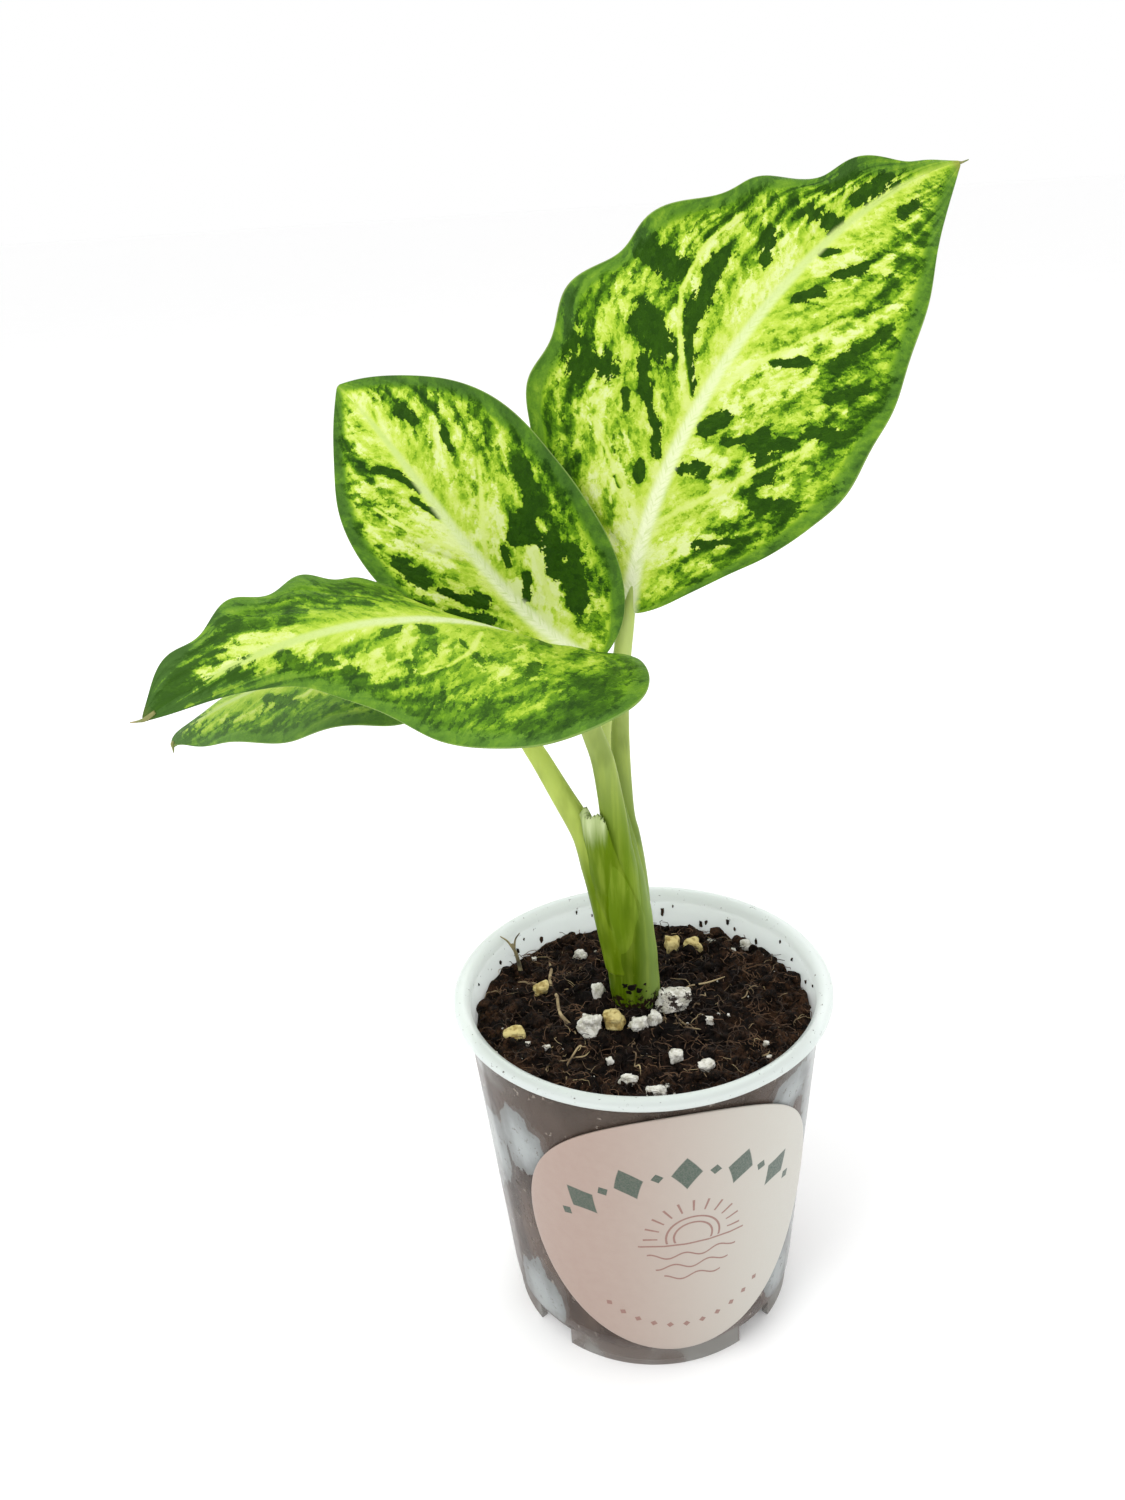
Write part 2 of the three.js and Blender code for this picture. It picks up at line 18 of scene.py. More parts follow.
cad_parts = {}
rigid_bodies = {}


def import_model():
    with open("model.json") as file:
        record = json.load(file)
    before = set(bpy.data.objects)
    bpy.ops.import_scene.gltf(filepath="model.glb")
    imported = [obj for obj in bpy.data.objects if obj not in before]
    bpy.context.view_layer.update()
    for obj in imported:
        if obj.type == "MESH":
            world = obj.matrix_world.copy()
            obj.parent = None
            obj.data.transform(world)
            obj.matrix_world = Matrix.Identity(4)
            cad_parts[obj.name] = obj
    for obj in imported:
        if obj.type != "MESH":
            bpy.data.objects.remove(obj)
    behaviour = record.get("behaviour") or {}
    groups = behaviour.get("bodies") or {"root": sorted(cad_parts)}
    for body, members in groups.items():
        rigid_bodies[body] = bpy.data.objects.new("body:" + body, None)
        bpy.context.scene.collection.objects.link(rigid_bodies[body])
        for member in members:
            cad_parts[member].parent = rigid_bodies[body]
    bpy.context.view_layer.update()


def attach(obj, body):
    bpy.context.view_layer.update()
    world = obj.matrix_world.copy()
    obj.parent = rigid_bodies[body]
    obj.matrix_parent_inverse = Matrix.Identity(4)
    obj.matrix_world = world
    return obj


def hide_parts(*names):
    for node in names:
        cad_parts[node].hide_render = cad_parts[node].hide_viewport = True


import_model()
MM = 0.001


def stand(name, data):
    """Puts a mesh, a lamp or a camera into the scene as an object."""
    made = bpy.data.objects.new(name, data)
    bpy.context.scene.collection.objects.link(made)
    return made


# %% [markdown]
# ## Camera
# The picture was taken from about 34 degrees above the pot, close enough that the rim looks
# much rounder than the base. A 30 mm lens on a 36 mm sensor, 21 cm from the rim, does that.
# The aim is worked out from where the middle of the rim lies in the picture, which is tall.

# %% Camera
PICTURE = (1125, 1500)  # width and height in pixels
LENS = 30.0
SENSOR = 36.0
RIM_PIXEL = (641.4, 979.1)  # where the middle of the rim lies in the picture
RIM_HEIGHT = 60
CAMERA_DISTANCE = 209.6
CAMERA_ELEVATION = math.radians(34.24)
CAMERA_ROLL = math.radians(-1.92)


def add_camera():
    """A camera that looks at the rim from above and keeps it at its place in the picture."""
    back = Vector((0, -math.cos(CAMERA_ELEVATION), math.sin(CAMERA_ELEVATION)))
    side = Vector((1, 0, 0))
    rise = side.cross(-back)
    turned_side = math.cos(CAMERA_ROLL) * side + math.sin(CAMERA_ROLL) * rise
    turned_rise = math.cos(CAMERA_ROLL) * rise - math.sin(CAMERA_ROLL) * side
    axes = Matrix((turned_side, turned_rise, back)).transposed()
    focal = LENS / SENSOR * PICTURE[1]
    rim = Vector((RIM_PIXEL[0] - PICTURE[0] / 2, PICTURE[1] / 2 - RIM_PIXEL[1], -focal))
    aim = rim.normalized().rotation_difference(Vector((0, 0, -1))).to_matrix()
    made = stand("camera", bpy.data.cameras.new("camera"))
    made.data.lens = LENS
    made.data.sensor_width = SENSOR
    made.data.clip_start = 0.01
    place = (axes @ aim).to_4x4()
    place.translation = Vector((0, 0, RIM_HEIGHT * MM)) + back * CAMERA_DISTANCE * MM
    made.matrix_world = place
    bpy.context.scene.camera = made
    return made


camera = add_camera()
bpy.context.scene.view_settings.view_transform = "Standard"
print("camera at", [round(x / MM, 1) for x in camera.matrix_world.translation], "mm")

# %% [markdown]
# ## Making meshes and node trees
# Most pieces here are grids of points: a leaf is a sheet of rows and columns, a pot is rings
# round an axis, and a stalk is rings along a line. One small function turns such a grid into a
# mesh. The others put nodes into a tree and join them, so that a material reads like a recipe.


# %% Mesh helpers
def mesh_object(name, points, faces, smooth=True):
    """A mesh object from points in millimetres, standing at the origin."""
    mesh = bpy.data.meshes.new(name)
    points = np.asarray(points, float) * MM
    mesh.from_pydata(points.tolist(), [], [list(map(int, face)) for face in faces])
    mesh.validate()
    mesh.update()
    if smooth:
        mesh.shade_smooth()
    return stand(name, mesh)


def grid_faces(rows, columns, start=0, around=False, flip=False):
    """Four-cornered faces between the points of a grid; around joins each row to a ring."""
    row = np.arange(rows - 1)[:, None]
    column = np.arange(columns if around else columns - 1)[None, :]
    following = (column + 1) % columns
    corners = [
        row * columns + column,
        row * columns + following,
        (row + 1) * columns + following,
        (row + 1) * columns + column,
    ]
    faces = np.stack(np.broadcast_arrays(*corners), -1).reshape(-1, 4) + start
    return faces[:, ::-1] if flip else faces


def tube(rings):
    """Points and faces of a closed tube: rings of equal length, each end closed by a fan."""
    rings = np.asarray(rings, float)
    count, sides = rings.shape[:2]
    points = np.vstack([rings.reshape(-1, 3), rings[0].mean(0), rings[-1].mean(0)])
    faces = [list(face) for face in grid_faces(count, sides, around=True)]
    last = (count - 1) * sides
    for j in range(sides):
        following = (j + 1) % sides
        faces.append([following, j, count * sides])
        faces.append([last + j, last + following, count * sides + 1])
    return points, faces


def joined(parts):
    """Several (points, faces) as one."""
    points, faces, start = [], [], 0
    for part_points, part_faces in parts:
        points.append(part_points)
        faces += [[corner + start for corner in face] for face in part_faces]
        start += len(part_points)
    return np.vstack(points), faces


def face_outwards(piece):
    """Merges doubles and turns the faces of a closed mesh outwards."""
    shape = bmesh.new()
    shape.from_mesh(piece.data)
    bmesh.ops.remove_doubles(shape, verts=shape.verts, dist=1e-7)
    bmesh.ops.recalc_face_normals(shape, faces=shape.faces)
    shape.to_mesh(piece.data)
    shape.free()


def settle(piece):
    """Turns a piece and its modifiers into a plain mesh."""
    graph = bpy.context.evaluated_depsgraph_get()
    plain = bpy.data.meshes.new_from_object(piece.evaluated_get(graph))
    piece.modifiers.clear()
    piece.data = plain
    return piece


def point_places(piece):
    """The x, the y and the z of a piece's points, in millimetres."""
    places = np.empty(len(piece.data.vertices) * 3, np.float32)
    piece.data.vertices.foreach_get("co", places)
    return (places.reshape(-1, 3) / MM).T


def keep_number(piece, name, values):
    """Stores one number for each point, which a material reads by that name."""
    values = np.asarray(values, np.float32).ravel()
    piece.data.attributes.new(name, "FLOAT", "POINT").data.foreach_set("value", values)


def smooth_between(ends, i, t):
    """A smooth line past four neighbours, the first at i: from the second, t = 0, to the third, t = 1."""
    a, b, c, d = ends[i], ends[i + 1], ends[i + 2], ends[i + 3]
    cubic = (3 * b - a - 3 * c + d) * t**3
    return 0.5 * (2 * b + (c - a) * t + (2 * a - 5 * b + 4 * c - d) * t**2 + cubic)


def line_points(points, steps):
    """Evenly counted points on a smooth line through the given ones, with all their numbers."""
    points = np.asarray(points, float)
    ends = np.vstack([2 * points[0] - points[1], points, 2 * points[-1] - points[-2]])
    x = np.linspace(0, len(points) - 1, steps)
    i = np.minimum(x.astype(int), len(points) - 2)
    return smooth_between(ends, i, (x - i)[:, None])


def rod(stations, steps, sides):
    """A round rod through stations of x, y, z and radius."""
    line = line_points(stations, steps)
    centre, radius = line[:, :3], line[:, 3]
    along = np.gradient(centre, axis=0)
    along /= np.linalg.norm(along, axis=1, keepdims=True)
    side = np.cross(along, [0.13, 0.97, 0.21])
    side /= np.linalg.norm(side, axis=1, keepdims=True)
    other = np.cross(along, side)
    turn = np.arange(sides) / sides * 2 * np.pi
    ring = np.cos(turn)[None, :, None] * side[:, None] + np.sin(turn)[None, :, None] * other[:, None]
    return tube(centre[:, None] + radius[:, None, None] * ring)


# %% Node helpers
def join(tree, value, socket):
    """Links another node's output to a socket, or sets the socket to a constant."""
    if isinstance(value, bpy.types.NodeSocket):
        tree.links.new(value, socket)
    else:
        socket.default_value = value


def put(tree, kind, inputs=None, **settings):
    """Adds a node, says what it is, and joins or sets its inputs."""
    node = tree.nodes.new(kind)
    for name, value in settings.items():
        setattr(node, name, value)
    for key, value in (inputs or {}).items():
        join(tree, value, node.inputs[key])
    return node


def calc(tree, operation, *values, clamp=False):
    """One sum of numbers, as a Math node."""
    inputs = dict(enumerate(values))
    return put(tree, "ShaderNodeMath", inputs, operation=operation, use_clamp=clamp).outputs[0]


def times(tree, first, second):
    return calc(tree, "MULTIPLY", first, second)


def minus(tree, first, second, clamp=False):
    return calc(tree, "SUBTRACT", first, second, clamp=clamp)


def size_of(tree, value):
    return calc(tree, "ABSOLUTE", value)


def vector_calc(tree, operation, first, second):
    """One sum of vectors. SCALE takes a number as its second value."""
    inputs = {0: first, "Scale" if operation == "SCALE" else 1: second}
    return put(tree, "ShaderNodeVectorMath", inputs, operation=operation).outputs[0]


def axes_of(tree, place):
    """The X, Y and Z of a place, as named outputs."""
    return put(tree, "ShaderNodeSeparateXYZ", {0: place}).outputs


def from_axis(tree, place):
    """How far a place is from the pot's axis."""
    flat = vector_calc(tree, "MULTIPLY", place, (1, 1, 0))
    return put(tree, "ShaderNodeVectorMath", {0: flat}, operation="LENGTH").outputs["Value"]


def noise_push(tree, place, scale, detail, middle, amount):
    """A push by noise in any direction; middle is the noise colour that pushes nothing."""
    inputs = {"Vector": place, "Scale": scale, "Detail": detail}
    push = put(tree, "ShaderNodeTexNoise", inputs).outputs["Color"]
    return vector_calc(tree, "SCALE", vector_calc(tree, "SUBTRACT", push, middle), amount)


def soft_step(tree, value, low, high, low_gives=0.0, high_gives=1.0):
    """Goes smoothly from one number to another while value passes from low to high."""
    inputs = {0: value, 1: low, 2: high, 3: low_gives, 4: high_gives}
    return put(tree, "ShaderNodeMapRange", inputs, interpolation_type="SMOOTHSTEP").outputs[0]


def cloud(tree, place, scale, detail=3.0, roughness=0.5, stretch=None, shift=(0, 0, 0)):
    """Noise from 0 to 1. Stretch scales each axis first, so that the noise has a direction."""
    if stretch is not None:
        inputs = {"Vector": place, "Scale": stretch, "Location": shift}
        place = put(tree, "ShaderNodeMapping", inputs).outputs[0]
    inputs = {"Vector": place, "Scale": scale, "Detail": detail, "Roughness": roughness}
    return put(tree, "ShaderNodeTexNoise", inputs).outputs[0]


def mixed(tree, share, first, second):
    """Mixes two colours."""
    return put(tree, "ShaderNodeMix", {0: share, 6: first, 7: second}, data_type="RGBA").outputs[2]


def mix_number(tree, share, first, second):
    return put(tree, "ShaderNodeMix", {0: share, 2: first, 3: second}, data_type="FLOAT").outputs[0]


def ramp(tree, value, stops):
    """A colour ramp through (position, colour) stops."""
    node = put(tree, "ShaderNodeValToRGB", {0: value})
    elements = node.color_ramp.elements
    elements[0].position, elements[0].color = stops[0]
    elements[1].position, elements[1].color = stops[-1]
    for position, color in stops[1:-1]:
        elements.new(position).color = color
    return node.outputs[0]


def attribute(tree, name):
    """A number that the mesh keeps for each point."""
    return put(tree, "ShaderNodeAttribute", attribute_name=name).outputs["Fac"]


def color(red, green, blue):
    """A colour as it looks on a screen, 0 to 255, turned into light."""
    screen = [channel / 255 for channel in (red, green, blue)]
    light = [c / 12.92 if c <= 0.04045 else ((c + 0.055) / 1.055) ** 2.4 for c in screen]
    return (*light, 1.0)


SOCKETS = {"number": "NodeSocketFloat", "vector": "NodeSocketVector", "color": "NodeSocketColor"}


def effect(name, inputs, outputs):
    """A group of shader nodes with named inputs (name, kind, value) and outputs (name, kind)."""
    tree = bpy.data.node_groups.new(name, "ShaderNodeTree")
    for socket_name, kind, value in inputs:
        socket = tree.interface.new_socket(name=socket_name, in_out="INPUT", socket_type=SOCKETS[kind])
        if value is not None:
            socket.default_value = value
    for socket_name, kind in outputs:
        tree.interface.new_socket(name=socket_name, in_out="OUTPUT", socket_type=SOCKETS[kind])
    return tree, tree.nodes.new("NodeGroupInput").outputs, tree.nodes.new("NodeGroupOutput").inputs


def place_effect(tree, group, **inputs):
    """Puts an effect into a material; an input's name is written with _ for a space."""
    node = put(tree, "ShaderNodeGroup", node_tree=group)
    for key, value in inputs.items():
        join(tree, value, node.inputs[key.replace("_", " ")])
    return node.outputs


def new_material(name):
    """An empty material with its tree, Object coordinates and a Principled BSDF."""
    made = bpy.data.materials.new(name)
    made.use_nodes = True
    tree = made.node_tree
    shader = next(node for node in tree.nodes if node.type == "BSDF_PRINCIPLED")
    return made, tree, put(tree, "ShaderNodeTexCoord").outputs["Object"], shader


def dress(tree, shader, base, roughness, height=None, relief=0.1, shine=0.5):
    """Joins colour, roughness, shine and a fine relief (millimetres at height 1) to the shader."""
    join(tree, base, shader.inputs["Base Color"])
    join(tree, roughness, shader.inputs["Roughness"])
    join(tree, shine, shader.inputs["Specular IOR Level"])
    if height is not None:
        bump = put(tree, "ShaderNodeBump", {"Height": height, "Distance": relief * MM, "Strength": 1.0})
        tree.links.new(bump.outputs[0], shader.inputs["Normal"])


def finish_piece(piece, material, slot, *nodes):
    """Gives a piece its material and its body, and hides the CAD nodes it stands for; the slot is not used.
    """
    piece.data.materials.clear()
    piece.data.materials.append(material)
    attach(piece, "root")
    if nodes:
        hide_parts(*nodes)
    return piece


# %% [markdown]
# ## Effects that several materials share
# Dirt shows at the foot of the stem, on the granules and on the pot: a mask that breaks up into
# small flecks. Grain is the fine unevenness that every natural surface has. Both are node
# groups, made once and placed in each material with its own numbers.


# %% Shared effects
def make_dirt_effect():
    inputs = [("Place", "vector", None), ("Scale", "number", 1000.0), ("Amount", "number", 0.3)]
    tree, given, result = effect("dirt", inputs, [("Mask", "number")])
    coarse = cloud(tree, given["Place"], given["Scale"], 2.0)
    fine = cloud(tree, given["Place"], times(tree, given["Scale"], 3.7), 4.0, 0.65)
    both = calc(tree, "ADD", times(tree, coarse, 0.55), times(tree, fine, 0.45))
    level = calc(tree, "ADD", times(tree, given["Amount"], 0.6), both)
    tree.links.new(soft_step(tree, level, 0.68, 0.73), result["Mask"])
    return tree


def make_grain_effect():
    inputs = [("Place", "vector", None), ("Scale", "number", 1000.0), ("Stretch", "vector", (1, 1, 1))]
    tree, given, result = effect("grain", inputs, [("Broad", "number"), ("Fine", "number")])
    place = vector_calc(tree, "MULTIPLY", given["Place"], given["Stretch"])
    tree.links.new(cloud(tree, place, given["Scale"], 3.0), result["Broad"])
    tree.links.new(cloud(tree, place, times(tree, given["Scale"], 5.3), 4.0, 0.6), result["Fine"])
    return tree


dirt = make_dirt_effect()
grain = make_grain_effect()


def dirt_at(tree, place, scale, amount):
    return place_effect(tree, dirt, Place=place, Scale=scale, Amount=amount)["Mask"]


def grain_at(tree, place, scale, stretch=(1.0, 1.0, 1.0)):
    return place_effect(tree, grain, Place=place, Scale=scale, Stretch=stretch)


def make_thread_material(name, dark, light, scale=240.0, roughness=0.8):
    """Two tones of a dry fibre, a root or a leaf's dry tip."""
    made, tree, place, shader = new_material(name)
    tone = grain_at(tree, place, scale)
    base = mixed(tree, soft_step(tree, tone["Broad"], 0.4, 0.62), dark, light)
    dress(tree, shader, base, roughness, tone["Fine"], 0.05)
    return made


print("shared effects:", dirt.name, grain.name)

# %% [markdown]
# ## Leaf blades
# A blade is a sheet that is bent along its midrib, folded at the midrib, curled across each
# half and waved at its edge. The measured model makes it by a formula, and this lesson repeats
# that formula with many more points, so the outline stays the same. Then come the things that
# a plain sheet lacks: a sunk midrib with a round keel below, side veins that run from the
# midrib towards the tip, the blade puffed up between them, and an edge that thins out.

# %% Blade shapes
LEAVES = {
    "tall": {
        "mid": [[0, 6, 121], [4.5, 5, 149.5], [26, 4.5, 176], [48, 18.5, 179.5]], "up": [0, -1, 0.15],
        "roll": [7, 10], "fold": [[7, 5], [9, 10]], "curl": [[-6, -2], [-3, 2]],
        "half": [[15, 21.5, 21.5, 12.5, 4], [16, 22.5, 23, 22, 16]],
        "wave": [[4.3, 1.8, 0.6], [2.2, -1.3, 0.07]], "scallop": [[7.6, 0.9, 0.97], [5, 0.2, 0.5]],
        "lobe": [4, -2.5], "length": 84, "seed": 3,
    },
    "middle": {
        "mid": [[-5, 3.5, 114], [-21, 2.7, 124.7], [-29, 1.9, 146.8], [-40.8, 13.5, 155]],
        "up": [0, -1, 0.25],
        "roll": [4, 2], "fold": [[11, 8], [12, 8]], "curl": [[-10, -7], [-8, -5]],
        "half": [[13, 11, 13.5, 15.5, 13], [15, 16.5, 18, 20, 14]],
        "wave": [[2.5, 0.5, -0.2], [2.6, 0.4, 0.34]], "scallop": [[8, 0, 0], [6, 0, 0]],
        "lobe": [0.5, 4.5], "length": 57, "seed": 11,
    },
    "front": {
        "mid": [[-9, -6, 118.2], [-15.5, -19, 130.7], [-36.5, -26.5, 137], [-61.5, -30, 121]],
        "up": [0, 0, 1],
        "roll": [-15, 57], "fold": [[0, -25], [-25, -6]], "curl": [[2, -22], [-7, 0]],
        "half": [[16, 25.5, 18, 8, 6.5], [14, 17, 14.5, 15, 20]],
        "wave": [[3.2, 0.8, 0.24], [6.5, 0.5, 0.06]], "scallop": [[6.2, 0.2, 0.1], [8, 0.8, -0.25]],
        "lobe": [4.5, 1.5], "length": 64, "seed": 23,
    },
    "low": {
        "mid": [[-18.5, 5, 109.2], [-29, 3, 127], [-64.6, -4.6, 113], [-67.2, -7.8, 108.4]],
        "up": [0, 0, 1],
        "roll": [2, 7], "fold": [[-11, -12], [-12, -13]], "curl": [[-12, -13], [-14, -15]],
        "half": [[13, 14, 14.5, 12.4, 7], [13, 15, 15, 12, 7]],
        "wave": [[3.9, 1, 0.28], [4, 0.7, 0.4]], "scallop": [[8, 0, 0], [6, 0, 0]],
        "lobe": [4.5, 5], "length": 55, "seed": 37,
    },
}


def mix(a, b, t):
    return a + (b - a) * t


def station_value(values, u):
    """A smooth line through five values at even stations from the base to the tip."""
    values = np.asarray(values, float)
    ends = np.concatenate([[2 * values[0] - values[1]], values, [2 * values[-1] - values[-2]]])
    x = np.clip(u, 0, 1) * (len(values) - 1)
    i = np.minimum(x.astype(int), len(values) - 2)
    return smooth_between(ends, i, x - i)


def outline(u):
    """Round at the base, pointed at the tip, and 1 in the middle."""
    return np.clip(u, 0, 1) ** 0.5 * np.clip(1 - u, 0, 1) ** 0.8 / 0.5**1.3


def by_side(left, pair):
    return np.where(left, pair[0], pair[1])


def half_width(leaf, u, v):
    left, right = (station_value(side, u) for side in leaf["half"])
    return outline(u) * np.where(v < 0, left, right)


def blade_points(leaf, u, v):
    """Points of the blade's middle surface, u from base to tip, v from left to right edge."""
    a, b, c, d = (np.array(p, float) for p in leaf["mid"])
    t = u[..., None]
    centre = a * (1 - t) ** 3 + 3 * b * t * (1 - t) ** 2 + 3 * c * t**2 * (1 - t) + d * t**3
    along = (b - a) * (1 - t) ** 2 + 2 * (c - b) * t * (1 - t) + (d - c) * t**2
    along /= np.linalg.norm(along, axis=-1, keepdims=True)
    across = np.cross(along, leaf["up"])
    across /= np.linalg.norm(across, axis=-1, keepdims=True)
    normal = np.cross(across, along)
    roll = np.radians(mix(*leaf["roll"], u))[..., None]
    turned = np.cos(roll) * across + np.sin(roll) * normal
    raised = np.cos(roll) * normal - np.sin(roll) * across
    left, s = v < 0, np.abs(v)
    width = half_width(leaf, u, v)
    start = np.radians(np.where(left, mix(*leaf["fold"][0], u), mix(*leaf["fold"][1], u)))
    bend = np.radians(np.where(left, mix(*leaf["curl"][0], u), mix(*leaf["curl"][1], u)))
    bend = np.where(np.abs(bend) < 2e-3, 2e-3, bend)
    end = start + bend * s
    x = width * (np.sin(end) - np.sin(start)) / bend
    z = -width * (np.cos(end) - np.cos(start)) / bend
    count, high, phase = (by_side(left, pair) for pair in zip(*leaf["wave"]))
    calm = np.sin(np.pi * np.clip(u, 0, 1)) ** 0.6
    wave = high * s**2.5 * calm * np.sin(2 * np.pi * (count * u + phase))
    count, high, phase = (by_side(left, pair) for pair in zip(*leaf["scallop"]))
    scallop = high * s**2.5 * np.sin(2 * np.pi * (count * u + phase)) * np.minimum(1, width / 8)
    x = x + scallop - wave * np.sin(end)
    z = z + wave * np.cos(end)
    back = by_side(left, leaf["lobe"]) * (1 - u) ** 2 * s**1.5 * outline(u)
    beside = np.where(left, -x, x)[..., None] * turned
    return centre + beside + z[..., None] * raised - back[..., None] * along


def rib_points(leaf, *stations):
    """Points on the midrib, a hair to its right, where one half's formula holds."""
    return blade_points(leaf, np.array(stations), np.full(len(stations), 1e-6))


# %% [markdown]
# A point on a half also has a place in the net of veins: the height at which its vein leaves
# the midrib, and how far along that vein it lies. Streaks, blotches and side veins all follow
# these two numbers, which the mesh keeps as a UV map.

# %% Vein net
VEIN_SWEEP = (0.27, 0.16)  # how far a vein climbs towards the tip on its way to the edge
VEIN_ACROSS = 0.65  # the sine of the angle between a side vein and the midrib
VEIN_ALONG = 1.3
VEIN_SLANT = math.radians(38)  # the usual angle between a side vein and the midrib
MAIN_VEINS = 7
FINE_VEINS = 4  # for each main vein


def vein_origin(u, v):
    """Where on the midrib, from 0 to 1, the vein through this point begins."""
    s = np.abs(v)
    t = np.clip(u / 0.6, 0, 1)
    spread = 0.3 + 0.7 * t * t * (3 - 2 * t)
    return u - (VEIN_SWEEP[0] * s + VEIN_SWEEP[1] * s**2) * spread


def vein_place(leaf, u, v):
    """Distances in millimetres across and along the side veins."""
    across = vein_origin(u, v) * leaf["length"] * VEIN_ACROSS
    along = np.abs(v) * half_width(leaf, u, v) * VEIN_ALONG
    return across, along


def flat_place(leaf, u, v):
    """Millimetres along the midrib and out from it, as on a flattened leaf."""
    return u * leaf["length"], np.abs(v) * half_width(leaf, u, v)


def vein_distance(leaf, u, v, each_length):
    """Millimetres to the nearest of the veins that leave each side of the midrib."""
    count = MAIN_VEINS * each_length
    shift = np.where(v < 0, 0.0, 0.45) + 0.13 * leaf["seed"]
    origin = vein_origin(u, v)
    phase = origin * count + shift + 0.16 * np.sin(5 * origin * MAIN_VEINS + leaf["seed"])
    away = np.abs(phase - np.round(phase)) / count
    return away * leaf["length"] * VEIN_ACROSS


def bell(distance, width):
    return np.exp(-((distance / width) ** 2))


# %% [markdown]
# The dark blotches and the pale patches of a real leaf can't come from noise alone, because
# the eye knows the leaf by its largest ones. Each is a streak from one place (u, v) on the
# blade to another, with half its width in millimetres. The material then tears its edge.

# %% Blotches
DARK = {
    "tall": [
        (0.56, -0.46, 0.47, -0.31, 1.8), (0.47, -0.31, 0.38, -0.09, 1.0), (0.44, -0.55, 0.42, -0.36, 2.0),
        (0.39, -0.44, 0.31, -0.18, 1.0), (0.31, -0.18, 0.27, -0.10, 0.8), (0.34, -0.44, 0.32, -0.39, 0.8),
        (0.25, -0.18, 0.23, -0.17, 0.8), (0.22, -0.33, 0.21, -0.28, 0.6), (0.52, -0.88, 0.52, -0.66, 1.9),
        (0.36, -0.70, 0.36, -0.57, 1.7), (0.79, -0.28, 0.85, -0.34, 1.4), (0.71, -0.38, 0.73, -0.05, 1.3),
        (0.83, 0.34, 0.87, 0.36, 1.1), (0.77, -0.75, 0.80, -0.86, 1.5), (0.64, -0.42, 0.61, -0.26, 0.9),
        (0.60, 0.14, 0.63, 0.23, 0.9), (0.67, 0.24, 0.71, 0.36, 0.9), (0.68, 0.04, 0.70, 0.11, 0.7),
        (0.49, 0.26, 0.52, 0.38, 0.9), (0.55, 0.57, 0.66, 0.78, 0.9), (0.49, 0.64, 0.55, 0.80, 0.9),
        (0.37, 0.42, 0.31, 0.56, 1.9), (0.36, 0.47, 0.39, 0.58, 0.9), (0.34, 0.26, 0.36, 0.35, 0.8),
        (0.42, 0.66, 0.45, 0.79, 1.4), (0.34, 0.10, 0.38, 0.17, 1.2), (0.27, 0.09, 0.28, 0.19, 1.3),
        (0.26, 0.62, 0.28, 0.80, 1.5), (0.15, 0.43, 0.18, 0.74, 0.8), (0.40, -0.92, 0.34, -0.80, 1.6),
    ],
    "middle": [
        (0.81, 0.41, 0.77, 0.40, 1.0), (0.74, -0.34, 0.69, -0.14, 0.6), (0.69, -0.14, 0.63, -0.05, 0.55),
        (0.62, -0.16, 0.55, -0.04, 0.5), (0.40, 0.35, 0.37, 0.49, 1.5), (0.41, 0.46, 0.44, 0.67, 1.8),
        (0.39, 0.23, 0.35, 0.17, 0.6), (0.30, 0.24, 0.26, 0.11, 0.8), (0.34, 0.56, 0.26, 0.48, 2.0),
        (0.29, 0.68, 0.16, 0.50, 1.9), (0.53, 0.75, 0.44, 0.66, 1.6), (0.40, -0.56, 0.32, -0.30, 1.1),
        (0.35, -0.68, 0.28, -0.44, 1.1), (0.52, -0.70, 0.44, -0.66, 1.4), (0.70, 0.46, 0.66, 0.41, 0.5),
    ],
    "front": [
        (0.55, -0.13, 0.52, -0.10, 0.8), (0.48, -0.06, 0.45, -0.12, 0.7), (0.68, -0.42, 0.64, -0.54, 0.9),
        (0.75, -0.25, 0.73, -0.45, 0.8), (0.52, -0.42, 0.52, -0.51, 0.6), (0.46, -0.22, 0.46, -0.32, 0.5),
        (0.40, -0.20, 0.38, -0.35, 0.7), (0.18, -0.06, 0.19, -0.22, 0.9), (0.31, -0.52, 0.28, -0.44, 0.7),
    ],
    "low": [(0.63, -0.27, 0.58, -0.50, 1.0), (0.48, -0.30, 0.44, -0.50, 0.9),
            (0.50, 0.40, 0.42, 0.50, 1.2)],
}
PALE = {
    "tall": [
        (0.14, -0.20, 0.26, -0.36, 1.8), (0.20, -0.42, 0.34, -0.60, 0.9), (0.40, -0.16, 0.46, -0.44, 1.1),
        (0.56, -0.10, 0.64, -0.34, 2.2), (0.42, 0.26, 0.58, 0.50, 2.6), (0.30, 0.20, 0.24, 0.46, 1.6),
        (0.12, 0.20, 0.18, 0.60, 1.4), (0.66, 0.14, 0.74, 0.50, 1.6), (0.52, -0.58, 0.60, -0.74, 1.0),
    ],
    "middle": [
        (0.54, 0.39, 0.40, 0.12, 1.7), (0.34, 0.44, 0.21, 0.27, 1.5), (0.46, -0.14, 0.56, -0.40, 2.4),
        (0.60, -0.36, 0.70, -0.52, 1.6), (0.62, 0.30, 0.72, 0.44, 1.6), (0.20, 0.10, 0.30, 0.14, 1.6),
    ],
    "front": [
        (0.61, -0.41, 0.56, -0.51, 1.7), (0.50, -0.26, 0.46, -0.36, 2.0), (0.28, -0.30, 0.30, -0.52, 1.2),
        (0.37, -0.38, 0.35, -0.50, 1.2), (0.86, 0.16, 0.74, 0.10, 1.5), (0.80, -0.20, 0.70, -0.12, 1.3),
    ],
    "low": [(0.57, -0.47, 0.50, -0.42, 0.9), (0.66, -0.49, 0.60, -0.40, 0.8),
            (0.75, -0.46, 0.68, -0.52, 0.8)],
}
